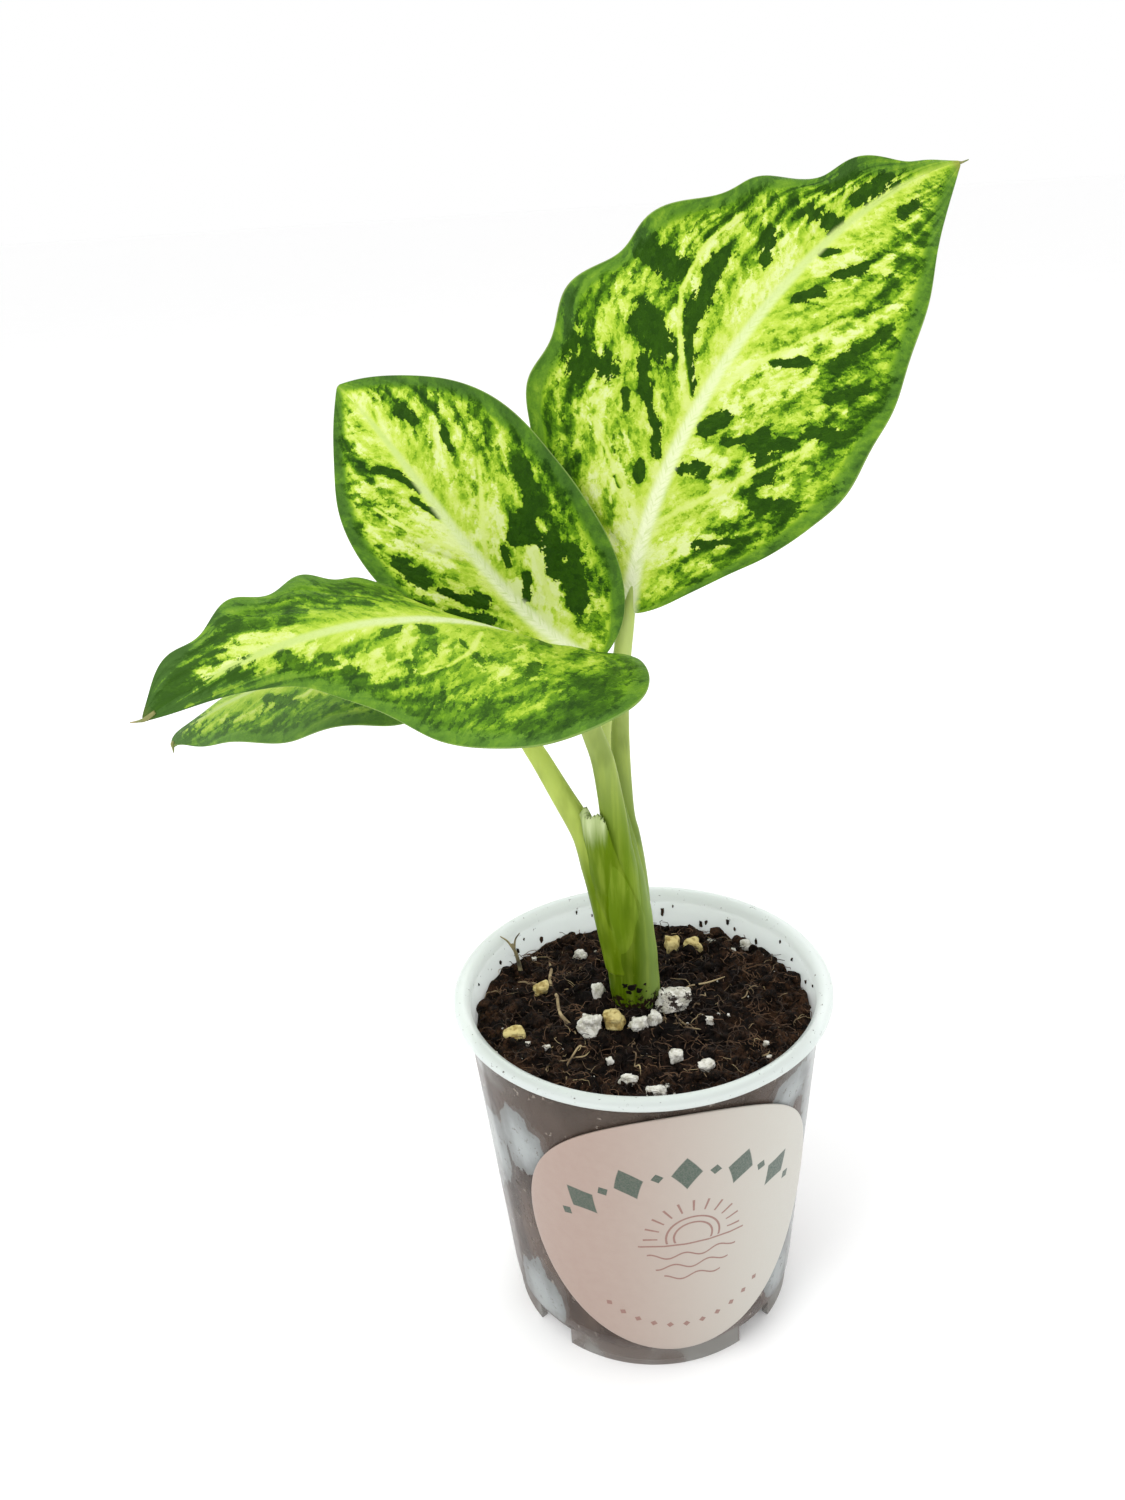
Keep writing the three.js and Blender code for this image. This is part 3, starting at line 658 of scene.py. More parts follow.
PALE_VEINS = {
    "tall": [
        (0.35, -0.02, 0.43, -0.27, 0.55), (0.43, -0.27, 0.50, -0.50, 0.45), (0.50, -0.50, 0.57, -0.61, 0.4),
        (0.57, -0.61, 0.63, -0.72, 0.3), (0.40, 0.03, 0.52, 0.26, 0.65), (0.52, 0.26, 0.63, 0.49, 0.4),
        (0.16, 0.04, 0.26, 0.38, 0.6), (0.26, 0.38, 0.40, 0.69, 0.4), (0.16, -0.02, 0.22, -0.30, 0.6),
        (0.22, -0.30, 0.29, -0.56, 0.35),
    ],
    "middle": [
        (0.42, -0.03, 0.48, -0.18, 0.4), (0.48, -0.18, 0.58, -0.42, 0.35), (0.58, -0.42, 0.66, -0.57, 0.3),
        (0.38, 0.03, 0.54, 0.39, 0.5), (0.54, 0.39, 0.60, 0.52, 0.3), (0.20, 0.24, 0.34, 0.43, 0.5),
    ],
    "front": [(0.34, -0.12, 0.39, -0.30, 0.4), (0.39, -0.30, 0.44, -0.41, 0.35),
              (0.44, -0.41, 0.50, -0.49, 0.25)],
    "low": [(0.40, -0.10, 0.55, -0.45, 0.3)],
}
# millimetres of dark margin at five stations from base to tip, left half and right half
MARGIN = {
    "tall": [[5.0, 6.5, 5.5, 4.0, 3.0], [4.0, 8.0, 8.5, 7.0, 5.0]],
    "middle": [[4.0, 3.6, 3.4, 3.4, 3.2], [6.0, 8.0, 6.5, 5.0, 3.6]],
    "front": [[8.0, 8.5, 7.0, 5.0, 5.0], [5.0, 7.0, 7.0, 7.0, 9.0]],
    "low": [[2.0, 3.0, 3.0, 3.0, 3.0], [2.0, 3.0, 3.0, 3.0, 3.0]],
}


def streak_field(leaf, streaks, u, v):
    """1 on the middle line of each streak, 0 at its edge and at least -2 outside."""
    along, out = flat_place(leaf, u, v)
    field = np.full(u.shape, -2.0)
    for u_1, v_1, u_2, v_2, half in streaks:
        first = flat_place(leaf, np.array(u_1), np.array(v_1))
        second = flat_place(leaf, np.array(u_2), np.array(v_2))
        run, rise = second[0] - first[0], second[1] - first[1]
        share = np.clip(((along - first[0]) * run + (out - first[1]) * rise) / (run**2 + rise**2), 0, 1)
        away = np.hypot(along - first[0] - share * run, out - first[1] - share * rise)
        same_side = (v < 0) == (v_1 < 0)
        field = np.where(same_side, np.maximum(field, 1 - away / half), field)
    return field


# %% Blade meshes
BLADE_ROWS = 220
HALF_COLUMNS = 70
BLADE_THICK = 0.42
EDGE_THICK = 0.16
BLADE_START = 0.002
BLADE_END = 0.996


def keep_map(blade, name, first, second, v):
    """Stores a pair of lengths for each point as a UV map in centimetres, for both faces.

    The second length has the other sign left of the midrib. The midrib's points belong to both
    halves, so a corner there takes the sign of its own face's half.
    """
    places = np.stack([first, second], -1).reshape(-1, 2) / 10
    corners = np.zeros(len(blade.data.loops), np.int32)
    blade.data.loops.foreach_get("vertex_index", corners)
    values = np.vstack([places, places])[corners]
    sides = np.concatenate([v.ravel()] * 2)[corners].reshape(-1, 4)
    left_rib = (sides == 0) & (sides.sum(1, keepdims=True) < 0)
    values[left_rib.ravel(), 1] *= -1
    layer = blade.data.uv_layers.new(name=name)
    layer.data.foreach_set("uv", values.astype(np.float32).ravel())


def build_blade(name):
    """The fine blade of one leaf, with the numbers that its material reads."""
    leaf = LEAVES[name]
    even = np.linspace(0, 1, BLADE_ROWS)
    rows = mix(BLADE_START, BLADE_END, mix(even, (1 - np.cos(np.pi * even)) / 2, 0.45))
    half = np.linspace(0, 1, HALF_COLUMNS)
    half = mix(half, (1 - np.cos(np.pi * half)) / 2, 0.5)
    u, v = np.meshgrid(rows, np.concatenate([-half[:0:-1], half]), indexing="ij")
    s = np.abs(v)
    width = half_width(leaf, u, v)
    away = s * width
    middle = blade_points(leaf, u, v)
    normal = np.cross(np.gradient(middle, axis=1), np.gradient(middle, axis=0))
    normal /= np.linalg.norm(normal, axis=-1, keepdims=True)

    rib_width = 1.25 * (1 - u) ** 0.8 + 0.25
    rib = bell(away, rib_width)
    main = vein_distance(leaf, u, v, 1)
    fine = vein_distance(leaf, u, v, FINE_VEINS)
    fade = (1 - s**4) * (1 - u) ** 0.25
    off_rib = 1 - bell(away, 0.8 + 1.5 * rib_width)
    main_groove = bell(main, 0.38) * fade * off_rib
    fine_groove = bell(fine, 0.3) * fade * off_rib
    puff = (1 - bell(main, 1.3)) * (1 - s**2) * np.minimum(1, width / 8) * off_rib
    swell = 0.12 * np.sin(0.55 * middle[..., 0] + leaf["seed"]) * np.sin(0.6 * middle[..., 2]) * s
    relief = 0.3 * puff + swell - 0.14 * main_groove - 0.05 * fine_groove - 0.1 * rib * (1 - u) ** 0.5
    thick = mix(BLADE_THICK, EDGE_THICK, np.clip((s - 0.9) / 0.1, 0, 1) ** 2)
    keel = 1.25 * (1 - 0.75 * u) * bell(away, 0.8 * rib_width)
    below = keel + 0.12 * main_groove - relief * 0.8
    fold = np.radians(mix(*leaf["fold"][0], u) + mix(*leaf["fold"][1], u)) / 2
    middle = middle + normal * (np.sin(fold) * (np.hypot(away, 0.9) - away))[..., None]
    top = middle + normal * (thick / 2 + relief)[..., None]
    bottom = middle - normal * (thick / 2 + below)[..., None]

    count, columns = u.shape
    under = count * columns
    points = np.vstack([top.reshape(-1, 3), bottom.reshape(-1, 3)])
    faces = [grid_faces(count, columns, flip=True), grid_faces(count, columns, under)]
    left = np.arange(count) * columns
    edges = []
    for border, turned in ((left, True), (left + columns - 1, False)):
        edges.append((border[:-1], border[1:], turned))
    end = np.arange(columns)
    for border, turned in ((end, False), (end + (count - 1) * columns, True)):
        edges.append((border[:-1], border[1:], turned))
    for first, second, turned in edges:
        strip = np.stack([first, second, second + under, first + under], -1)
        faces.append(strip[:, ::-1] if turned else strip)
    blade = mesh_object("blade_" + name, points, np.vstack(faces))

    across, along = vein_place(leaf, u, v)
    rim = station_value(MARGIN[name][0], u), station_value(MARGIN[name][1], u)
    inside = away - width + np.where(v < 0, *rim)
    numbers = {
        "across": s, "along": u, "rib": rib, "inside": inside,
        "vein": np.maximum(main_groove, 0.45 * fine_groove),
        "near_rib": np.exp(-away / (1.2 + 3.0 * (1 - u))), "rim": width - away,
        "dark": streak_field(leaf, DARK[name], u, v),
        "pale": streak_field(leaf, PALE[name], u, v),
        "pale_vein": streak_field(leaf, PALE_VEINS[name], u, v),
    }
    for key, values in numbers.items():
        keep_number(blade, key, np.concatenate([values.ravel()] * 2))
    keep_number(blade, "upper", np.repeat([1.0, 0.0], under))
    shift = 10.0 * (1 + leaf["seed"])
    ahead, out = flat_place(leaf, u, v)
    sine, cosine = math.sin(VEIN_SLANT), math.cos(VEIN_SLANT)
    side = np.where(v < 0, -1, 1)
    keep_map(blade, "veins", across + shift, side * (along + 5), v)
    keep_map(blade, "flat", ahead * sine - out * cosine + shift, side * (ahead * cosine + out * sine + 5),
             v)
    face_outwards(blade)
    return blade


blades = {name: build_blade(name) for name in LEAVES}
print("blades:", {name: len(blade.data.polygons) for name, blade in blades.items()}, "faces")

# %% [markdown]
# ## Marbled leaf colour
# One number, the greenness, decides the colour: cream where the leaf has no green at all, then
# lime, then mid green, and dark green in the blotches. It is a sum. The plain margin adds to it,
# the midrib and the pale patches take from it, and the dark blotches, the pale veins and the
# border have levels of their own. Real variegation is made of small groups of cells that share
# one green, so cell noise, warped at its borders, breaks the sum into angular patches.

# %% Marbling effect
LEAF_STOPS = [
    (0.00, color(210, 222, 150)), (0.14, color(200, 216, 112)), (0.28, color(182, 206, 72)),
    (0.42, color(150, 184, 44)), (0.52, color(112, 154, 26)), (0.61, color(86, 130, 18)),
    (0.70, color(62, 102, 12)), (0.80, color(44, 80, 8)), (1.00, color(28, 60, 6)),
]
# the numbers that each blade keeps for its points, and those that each leaf sets
KEPT_NUMBERS = ("across", "along", "rib", "vein", "inside", "near_rib", "rim", "dark", "pale",
                "pale_vein", "upper")
TONE_NAMES = ("Green", "Contrast", "Deep", "Border", "Plain_Tip", "Dry_Tip", "Sheen")


def cells(tree, place, scale, stretch, shift=(0, 0, 0)):
    """A random number for each cell of a broken net."""
    inputs = {"Vector": place, "Scale": stretch, "Location": shift}
    place = put(tree, "ShaderNodeMapping", inputs).outputs[0]
    net = put(tree, "ShaderNodeTexVoronoi", {"Vector": place, "Scale": scale, "Randomness": 1.0})
    return put(tree, "ShaderNodeSeparateColor", {0: net.outputs["Color"]}).outputs[0]


def warped(tree, place, scale, amount):
    """A place pushed about by noise."""
    return vector_calc(tree, "ADD", place, noise_push(tree, place, scale, 3.0, (0.5, 0.5, 0.5), amount))


def make_marbling_effect():
    inputs = [("Veins", "vector", None), ("Flat", "vector", None), ("Place", "vector", None)]
    inputs += [(name.replace("_", " ").title(), "number", 0.0) for name in KEPT_NUMBERS + TONE_NAMES]
    outputs = [("Color", "color"), ("Height", "number"), ("Roughness", "number")]
    tree, given, result = effect("marbling", inputs, outputs)

    def plus(value, term, factor=1.0):
        return calc(tree, "MULTIPLY_ADD", term, factor, value)

    jagged = warped(tree, given["Flat"], 26.0, 0.085)
    large_cells = cells(tree, jagged, 7.0, (1.0, 0.55, 1.0))
    small_cells = cells(tree, jagged, 17.0, (1.0, 0.6, 1.0), (3.0, 5.0, 0.0))
    streaks = cloud(tree, given["Veins"], 3.4, 2.0, 0.5, (1.0, 0.6, 1.0))
    patches = cloud(tree, given["Flat"], 5.0, 4.0, 0.62, (1.0, 0.7, 1.0), (9.0, 2.0, 0.0))
    dots = cloud(tree, jagged, 34.0, 3.0, 0.7)
    torn = plus(-1.25, streaks, 1.1)
    torn = plus(torn, patches, 0.8)
    torn = plus(torn, large_cells, 0.2)
    torn = plus(torn, small_cells, 0.2)
    torn = plus(torn, dots, 0.2)
    short_streaks = cloud(tree, jagged, 15.0, 2.0, 0.55, (1.0, 0.32, 1.0), (1.0, 8.0, 0.0))
    dashes = soft_step(tree, short_streaks, 0.54, 0.6)
    calm = calc(tree, "MULTIPLY_ADD", given["Near Rib"], -0.75, 1.12)
    level = plus(given["Green"], times(tree, torn, times(tree, given["Contrast"], calm)))
    level = plus(level, times(tree, dashes, calm), 0.13)

    margin = soft_step(tree, plus(given["Inside"], torn, 8.0), -1.8, 2.0)
    level = plus(level, margin, 0.18)
    border = soft_step(tree, plus(given["Rim"], torn, 3.0), 1.3, 2.5, 1.0, 0.0)
    level = mix_number(tree, times(tree, border, 0.85), level, plus(given["Border"], torn, 0.3))
    pale_patch = soft_step(tree, plus(given["Pale"], torn, -3.2), -0.3, 0.5)
    level = plus(level, pale_patch, -0.20)
    level = plus(level, given["Near Rib"], -0.30)
    deep = soft_step(tree, plus(given["Dark"], torn, 2.2), 0.06, 0.2)
    edge_of_deep = soft_step(tree, plus(given["Dark"], torn, 2.4), -0.8, 0.1, 0.0, 0.11)
    level = plus(level, edge_of_deep)
    shade_of_deep = plus(plus(given["Deep"], small_cells, 0.16), patches, 0.2)
    level = mix_number(tree, deep, level, shade_of_deep)
    level = plus(level, times(tree, given["Vein"], margin), -0.08)
    pale_vein = soft_step(tree, plus(given["Pale Vein"], torn, -0.8), -0.35, 0.75)
    level = mix_number(tree, times(tree, pale_vein, 0.85), level, 0.1)
    near_tip = soft_step(tree, plus(given["Along"], torn, 0.35), 0.80, 0.90)
    plain = times(tree, given["Plain Tip"], near_tip)
    level = mix_number(tree, plain, level, plus(0.79, torn, 0.2))
    # Painted sheen: the border is mixed towards a dull grey-green.
    border_sheen = times(tree, border, 0.3)
    marbled = mixed(tree, border_sheen, ramp(tree, level, LEAF_STOPS), color(82, 118, 58))

    ahead = soft_step(tree, given["Along"], 0.1, 0.9)
    pale_rib = mixed(tree, ahead, color(228, 234, 196), color(184, 206, 108))
    fibres = cloud(tree, given["Flat"], 30.0, 2.0, 0.5, (1.0, 0.1, 1.0))
    pale_rib = mixed(tree, soft_step(tree, fibres, 0.45, 0.7, 0.0, 0.5), pale_rib, color(188, 206, 120))
    rib = soft_step(tree, plus(given["Rib"], torn, 0.3), 0.2, 0.95)
    rib_end = soft_step(tree, given["Along"], 0.82, 0.95, 1.0, 0.1)
    rib = times(tree, rib, minus(tree, rib_end, plain, clamp=True))
    painted = mixed(tree, rib, marbled, pale_rib)
    edge = soft_step(tree, given["Across"], 0.988, 0.998, 0.0, 0.4)
    painted = mixed(tree, edge, painted, color(170, 192, 110))
    dry_tip = times(tree, given["Dry Tip"], soft_step(tree, given["Along"], 0.975, 0.99))
    painted = mixed(tree, dry_tip, painted, color(140, 118, 70))
    # Painted sheen: the last tone mixes a grey-green veil into the leaf's colour.
    painted = mixed(tree, given["Sheen"], painted, color(110, 142, 88))
    under = mixed(tree, 0.45, painted, color(128, 160, 80))
    tree.links.new(mixed(tree, given["Upper"], under, painted), result["Color"])

    wrinkles = cloud(tree, given["Flat"], 13.0, 4.0, 0.6, (1.0, 0.5, 1.0), (7.0, 2.0, 0.0))
    creases = size_of(tree, minus(tree, wrinkles, 0.5))
    pores = cloud(tree, given["Place"], 5200.0, 2.0, 0.6)
    height = plus(plus(0.0, creases, -2.4), pores, 0.16)
    tree.links.new(times(tree, height, plus(0.55, deep, 0.6)), result["Height"])
    shine = soft_step(tree, patches, 0.35, 0.65, 0.38, 0.5)
    tree.links.new(mix_number(tree, given["Upper"], 0.6, shine), result["Roughness"])
    return tree


marbling = make_marbling_effect()

# %% Leaf materials
# The last number of each leaf is its painted sheen, a grey-green veil over the colour.
LEAF_TONES = {
    "tall": (0.40, 0.96, 0.68, 0.65, 0.0, 0.40, 0.0), "middle": (0.39, 1.0, 0.70, 0.74, 0.0, 0.0, 0.0),
    "front": (0.49, 0.57, 0.52, 0.60, 1.0, 0.15, 0.05), "low": (0.50, 0.60, 0.56, 0.62, 1.0, 0.30, 0.30),
}


def make_leaf_material(name):
    made, tree, place, shader = new_material("leaf_" + name)
    maps = {key: put(tree, "ShaderNodeUVMap", uv_map=key.lower()).outputs[0] for key in ("Veins", "Flat")}
    numbers = {key.title(): attribute(tree, key) for key in KEPT_NUMBERS}
    tones = dict(zip(TONE_NAMES, LEAF_TONES[name]))
    result = place_effect(tree, marbling, Place=place, **maps, **numbers, **tones)
    dress(tree, shader, result["Color"], result["Roughness"], result["Height"], 0.22, 0.06)
    return made


for name, blade in blades.items():
    finish_piece(blade, make_leaf_material(name), "leaf", "leaf_" + name)
print("leaf materials:", [m.name for m in bpy.data.materials if m.name.startswith("leaf_")])

# %% Drip tips
DRIP_TIPS = {  # direction and length
    "tall": ((1, 0.3, 0.1), 1.8), "front": ((-1, -0.15, -0.25), 2.0), "low": ((0.1, -0.4, -1), 1.5),
}
tip_look = make_thread_material("drip_tip", color(112, 122, 62), color(154, 138, 86), 400.0, 0.6)
for name, (way, reach) in DRIP_TIPS.items():
    start = rib_points(LEAVES[name], 0.975, 0.993)
    way = np.array(way) / np.linalg.norm(way)
    stations = [[*start[0], 0.25], [*start[1], 0.3], [*(start[1] + 0.45 * reach * way), 0.17],
                [*(start[1] + reach * way + np.array([0, 0, 0.2])), 0.07]]
    finish_piece(mesh_object("drip_tip_" + name, *rod(stations, 16, 10)), tip_look, "leaf")

# %% [markdown]
# ## Stem and leaf stalks
# A dieffenbachia has no branches. Each leaf stalk wraps the cane as a fleshy sheath before it
# leaves it, so the stem looks like a bundle of stalks that grow out of each other. Here the
# cane and its roots are rods of flesh that a voxel remesh melts into one body without seams;
# each stalk is one such rod, remeshed the same way. All are smoothed afterwards. Roots grow from
# the foot of the cane into the soil.

# %% Stem shapes
CANE = [  # x, y, z, half width, half depth
    [-0.8, 2.2, 34, 2.2, 2.2], [-0.9, 2.2, 38, 3.4, 3.4], [-1.0, 2.2, 48, 3.9, 3.9],
    [-1.0, 2.2, 54, 4.0, 4.0], [-1.2, 2.1, 59, 4.2, 4.2], [-1.6, 2.0, 65, 4.3, 4.3],
    [-2.4, 1.9, 72, 4.5, 4.6], [-3.2, 1.7, 77, 4.6, 4.8], [-3.9, 1.4, 82, 4.7, 5.0],
    [-4.3, 1.2, 87, 4.5, 5.2], [-4.3, 1.1, 91, 4.2, 5.1], [-4.1, 1.0, 92.5, 3.6, 4.6],
]
CANE_HEART = [[-3.5, 1.6, 81, 4.3, 4.6], [-3.3, 1.7, 85, 3.3, 3.9], [-3.1, 1.8, 90, 2.0, 2.8],
              [-3.0, 1.9, 93, 1.2, 1.8]]
ROOT_COUNT = 7
ROOT_TOP = (-0.8, 2.2, 42.0)
STALKS = {  # x, y, z of each stalk from where it leaves the cane, and its radius at each end
    "low": ([[-6.9, 0.4, 84.5], [-8.3, 0.4, 88], [-11.2, 0.9, 93.7], [-13.8, 1.6, 98.8],
             [-16.4, 2.9, 103.5]], 1.75, 1.25),
    "front": ([[-3.1, -1.6, 88], [-3.6, -2.2, 94], [-4.5, -3.0, 101], [-5.8, -3.8, 106],
               [-7.2, -4.7, 111.5]], 1.9, 1.25),
    "middle": ([[-4.3, 1.6, 88.5], [-4.3, 1.5, 96], [-4.4, 1.9, 103]], 1.3, 1.2),
    "tall": ([[-2.1, 4.2, 88.5], [-2.1, 4.8, 96], [-1.9, 5.4, 104], [-1.3, 5.9, 112]], 1.6, 1.25),
}
SHEATH_FEET = {  # the sheath part of each stalk, inside the bundle: x, y, z, radius
    "low": [[-2.0, 1.9, 62, 3.9], [-3.2, 1.7, 70, 3.9], [-4.8, 1.4, 77, 3.4], [-6.1, 0.9, 81.5, 2.9]],
    "front": [[-2.1, 1.0, 66, 3.2], [-2.5, 0.4, 74, 3.5], [-3.0, -0.3, 80, 3.3], [-3.2, -1.0, 84.5, 2.8]],
    "middle": [[-3.8, 1.6, 82, 2.4], [-4.2, 1.6, 86, 1.7]],
    "tall": [[-1.3, 2.6, 66, 3.4], [-1.6, 2.8, 74, 3.5], [-1.8, 3.2, 80, 3.2], [-1.9, 3.7, 85, 2.6]],
}
STALK_EASE = {"low": 0.8, "front": 0.35, "middle": 0.0, "tall": 0.5}  # extra radius where the sheath ends
STEM_VOXEL = 0.26
STEM_SMOOTHING = 6  # rounds


def root_stations(i):
    """One root: out and down from the foot of the cane, thinner towards its tip."""
    turn = i / ROOT_COUNT * 2 * math.pi + 0.3
    reach = 11 + 3 * math.sin(2.4 * i)
    depth = 24 + 6 * math.cos(1.7 * i)

    def along(out, down, bend, radius):
        x, y, z = ROOT_TOP
        return [x + out * math.cos(turn + bend), y + out * math.sin(turn + bend), z - down, radius]

    return [along(1.5, 0, 0, 0.9), along(0.45 * reach, 0.2 * depth, 0.1, 0.78),
            along(0.85 * reach, 0.6 * depth, 0.3, 0.6), along(reach, depth, 0.5, 0.45)]


def cane_parts():
    line = line_points(CANE[:8] + CANE_HEART, 90)
    turn = np.linspace(0, 2 * np.pi, 49)[:-1]
    ripple = 1 + 0.012 * np.sin(3 * turn[None] + 0.05 * line[:, 2:3]) + 0.01 * np.sin(0.9 * line[:, 2:3])
    ring = np.stack([
        line[:, 0:1] + line[:, 3:4] * ripple * np.cos(turn),
        line[:, 1:2] + line[:, 4:5] * ripple * np.sin(turn),
        np.broadcast_to(line[:, 2:3], (len(line), len(turn))),
    ], -1)
    return [tube(ring)] + [rod(root_stations(i), 24, 12) for i in range(ROOT_COUNT)]


def stalk_stations(name):
    """A stalk from its sheath to the keel under the blade's base."""
    points, thick, thin = STALKS[name]
    leaf = LEAVES[name]
    base = rib_points(leaf, 0.0, 0.02, 0.09, 0.16)
    along = base[1] - base[0]
    along /= np.linalg.norm(along)
    beside = blade_points(leaf, np.array([0.1]), np.array([0.02]))[0]
    side = beside - rib_points(leaf, 0.1)[0]
    normal = np.cross(side / np.linalg.norm(side), along)
    free = [list(point) for point in points] + [list(base[0] - along * 2.2), list(base[0] - along * 0.65)]
    radii = np.linspace(thick, thin, len(free)) + STALK_EASE[name] * 0.5 ** np.arange(len(free))
    stations = [point + [radius] for point, radius in zip(free, radii)]
    for point, sink, radius in ((base[1], 0.5, 1.05), (base[2], 0.85, 0.85), (base[3], 0.9, 0.5)):
        stations.append(list(point - normal * sink) + [radius])
    return SHEATH_FEET[name] + stations


def fleshy(name, parts):
    """Melts rods into one smooth body."""
    body = mesh_object(name, *joined(parts))
    remesh = body.modifiers.new("melt", "REMESH")
    remesh.mode = "VOXEL"
    remesh.voxel_size = STEM_VOXEL * MM
    remesh.use_smooth_shade = True
    soften = body.modifiers.new("soften", "SMOOTH")
    soften.factor = 0.5
    soften.iterations = STEM_SMOOTHING
    return settle(body)


# %% [markdown]
# Flesh shows long streaks: pale green fibres over olive, lighter where the stalk is thin and
# nearly cream at the leaf. The noise is squeezed across the stem and stretched along it. The
# side towards +X is painted paler, as light falling on that side. Soil sticks to the foot of
# the cane, so the shared dirt effect darkens it there.

# %% Flesh material
def make_flesh_effect():
    inputs = [("Place", "vector", None), ("Low", "color", None), ("High", "color", None),
              ("Foot", "number", 0.06), ("Top", "number", 0.1)]
    tree, given, result = effect("flesh", inputs, [("Color", "color"), ("Height", "number")])
    place = given["Place"]
    fibre = grain_at(tree, place, 900.0, (1.0, 1.0, 0.06))
    mottle = grain_at(tree, place, 260.0, (1.0, 1.0, 0.35))
    axes = axes_of(tree, place)
    base = mixed(tree, soft_step(tree, axes["Z"], given["Foot"], given["Top"]), given["Low"], given["High"])
    # Painted light: the side towards +X is mixed towards pale green, as its lit side.
    pale = soft_step(tree, axes["X"], -1.2 * MM, 2.6 * MM, 0.0, 0.6)
    base = mixed(tree, pale, base, color(150, 176, 96))
    light = mixed(tree, 0.3, base, color(182, 200, 84))
    dark = mixed(tree, 0.5, base, color(52, 78, 0))
    base = mixed(tree, soft_step(tree, fibre["Broad"], 0.4, 0.72, 0.0, 0.8), base, light)
    base = mixed(tree, soft_step(tree, mottle["Broad"], 0.45, 0.75, 0.0, 0.7), base, dark)
    base = mixed(tree, soft_step(tree, mottle["Fine"], 0.64, 0.74, 0.0, 0.45), base, light)
    tree.links.new(base, result["Color"])
    tree.links.new(calc(tree, "MULTIPLY_ADD", fibre["Fine"], 0.4, fibre["Broad"]), result["Height"])
    return tree


flesh = make_flesh_effect()


def make_flesh_material(name, low_tone, high_tone, low_z, high_z, dirty=False):
    made, tree, place, shader = new_material(name)
    look = place_effect(tree, flesh, Place=place, Low=low_tone, High=high_tone, Foot=low_z * MM,
                        Top=high_z * MM)
    base = look["Color"]
    if dirty:
        height = axes_of(tree, place)["Z"]
        near_soil = soft_step(tree, height, 55.5 * MM, 60.5 * MM, 0.42, 0.0)
        soiled = dirt_at(tree, place, 420.0, near_soil)
        base = mixed(tree, soiled, base, color(38, 26, 20))
    dress(tree, shader, base, 0.42, look["Height"], 0.08, 0.06)
    return made


OLIVE, STALK_GREEN, STALK_CREAM = color(74, 98, 0), color(126, 150, 44), color(176, 192, 112)
CANE_TONES = (OLIVE, color(96, 124, 0), 58, 92)
cane = fleshy("cane", cane_parts())
finish_piece(cane, make_flesh_material("cane", *CANE_TONES, dirty=True), "stem", "stem")
STALK_TONES = {  # colour at the foot and at the leaf, and the heights between which it changes
    "low": (color(100, 126, 6), color(188, 206, 102), 78, 92),
    "front": (color(102, 130, 20), STALK_CREAM, 84, 114),
    "middle": (STALK_GREEN, STALK_CREAM, 84, 108), "tall": (color(92, 118, 26), STALK_CREAM, 76, 118),
}
for name, tones in STALK_TONES.items():
    stalk = fleshy("stalk_" + name, [rod(stalk_stations(name), 110, 32)])
    finish_piece(stalk, make_flesh_material("stalk_" + name, *tones), "petiole", "petiole_" + name)
stem_pieces = [o for o in bpy.data.objects if o.name.startswith(("cane", "stalk_"))]
print("stem and stalks:", {o.name: len(o.data.polygons) for o in stem_pieces})

# %% [markdown]
# ## The old sheath
# Where the lowest stalk parts from the bundle, the rim of its sheath has dried to a thin torn
# skin that lets a little light through. It is a sheet that follows the stem, with a ragged
# upper edge.

# %% Sheath
SHEATH_TOP = [  # degrees round the stem from its right through its back, and the height of the edge
    (188, 87.0), (200, 91.0), (207, 92.8), (214, 92.0), (224, 91.4), (236, 91.8), (248, 92.4), (257, 92.0),
    (266, 91.4), (273, 89.8), (280, 87.0), (290, 83.0), (302, 78.6), (316, 73.4), (330, 68.0),
]
SHEATH_FOOT = 64.0
TORN_FROM, TORN_TO = 192, 276  # the torn part of the edge, in the same degrees
SHEATH_THICK = 0.28


def sheath_parts():
    columns, rows = 120, 90
    turn_stations, top_stations = np.array(SHEATH_TOP, float).T
    turn = np.linspace(turn_stations[0], turn_stations[-1], columns)
    ragged = 0.22 * np.sin(0.9 * turn) + 0.16 * np.sin(2.1 * turn + 1) + 0.1 * np.sin(4.3 * turn)
    torn_zone = np.clip((TORN_TO - turn) / 14, 0, 1) * np.clip((turn - TORN_FROM) / 10, 0, 1)
    top = np.interp(turn, turn_stations, top_stations) + ragged * torn_zone * 1.2
    up = np.linspace(0, 1, rows)[:, None] ** 0.8
    z = mix(SHEATH_FOOT, top[None], up)
    line = line_points(CANE, 200)
    centre_x, centre_y, half_x, half_y = (np.interp(z, line[:, 2], line[:, k]) for k in (0, 1, 3, 4))
    lift = 0.5 * np.clip(1 - (top[None] - z) / 7, 0, 1) ** 1.2 - 0.18
    ends = np.clip((turn - turn_stations[0]) / 14, 0, 1) * np.clip((turn_stations[-1] - turn) / 20, 0, 1)
    lift = mix(-0.5, lift, ends[None])
    angle = np.radians(turn)[None]
    sheets = []
    for off in (lift + 0.1, lift + 0.1 - SHEATH_THICK):
        x = centre_x + (half_x + off) * np.cos(angle)
        y = centre_y + (half_y + off) * np.sin(angle)
        sheets.append(np.stack([x, y, z], -1))
    outer, inner = sheets
    points, faces = tube(np.concatenate([outer, inner[:, ::-1]], 1))
    thin = np.clip(1 - (top[None] - z) / 7.5, 0, 1) * torn_zone[None]
    kept = np.concatenate([np.concatenate([thin, thin[:, ::-1]], 1).ravel(), [0, 0]])
    return points, faces, kept


sheath_points, sheath_faces, sheath_thin = sheath_parts()
sheath = mesh_object("torn_sheath", sheath_points, sheath_faces)
keep_number(sheath, "thin", sheath_thin)
face_outwards(sheath)


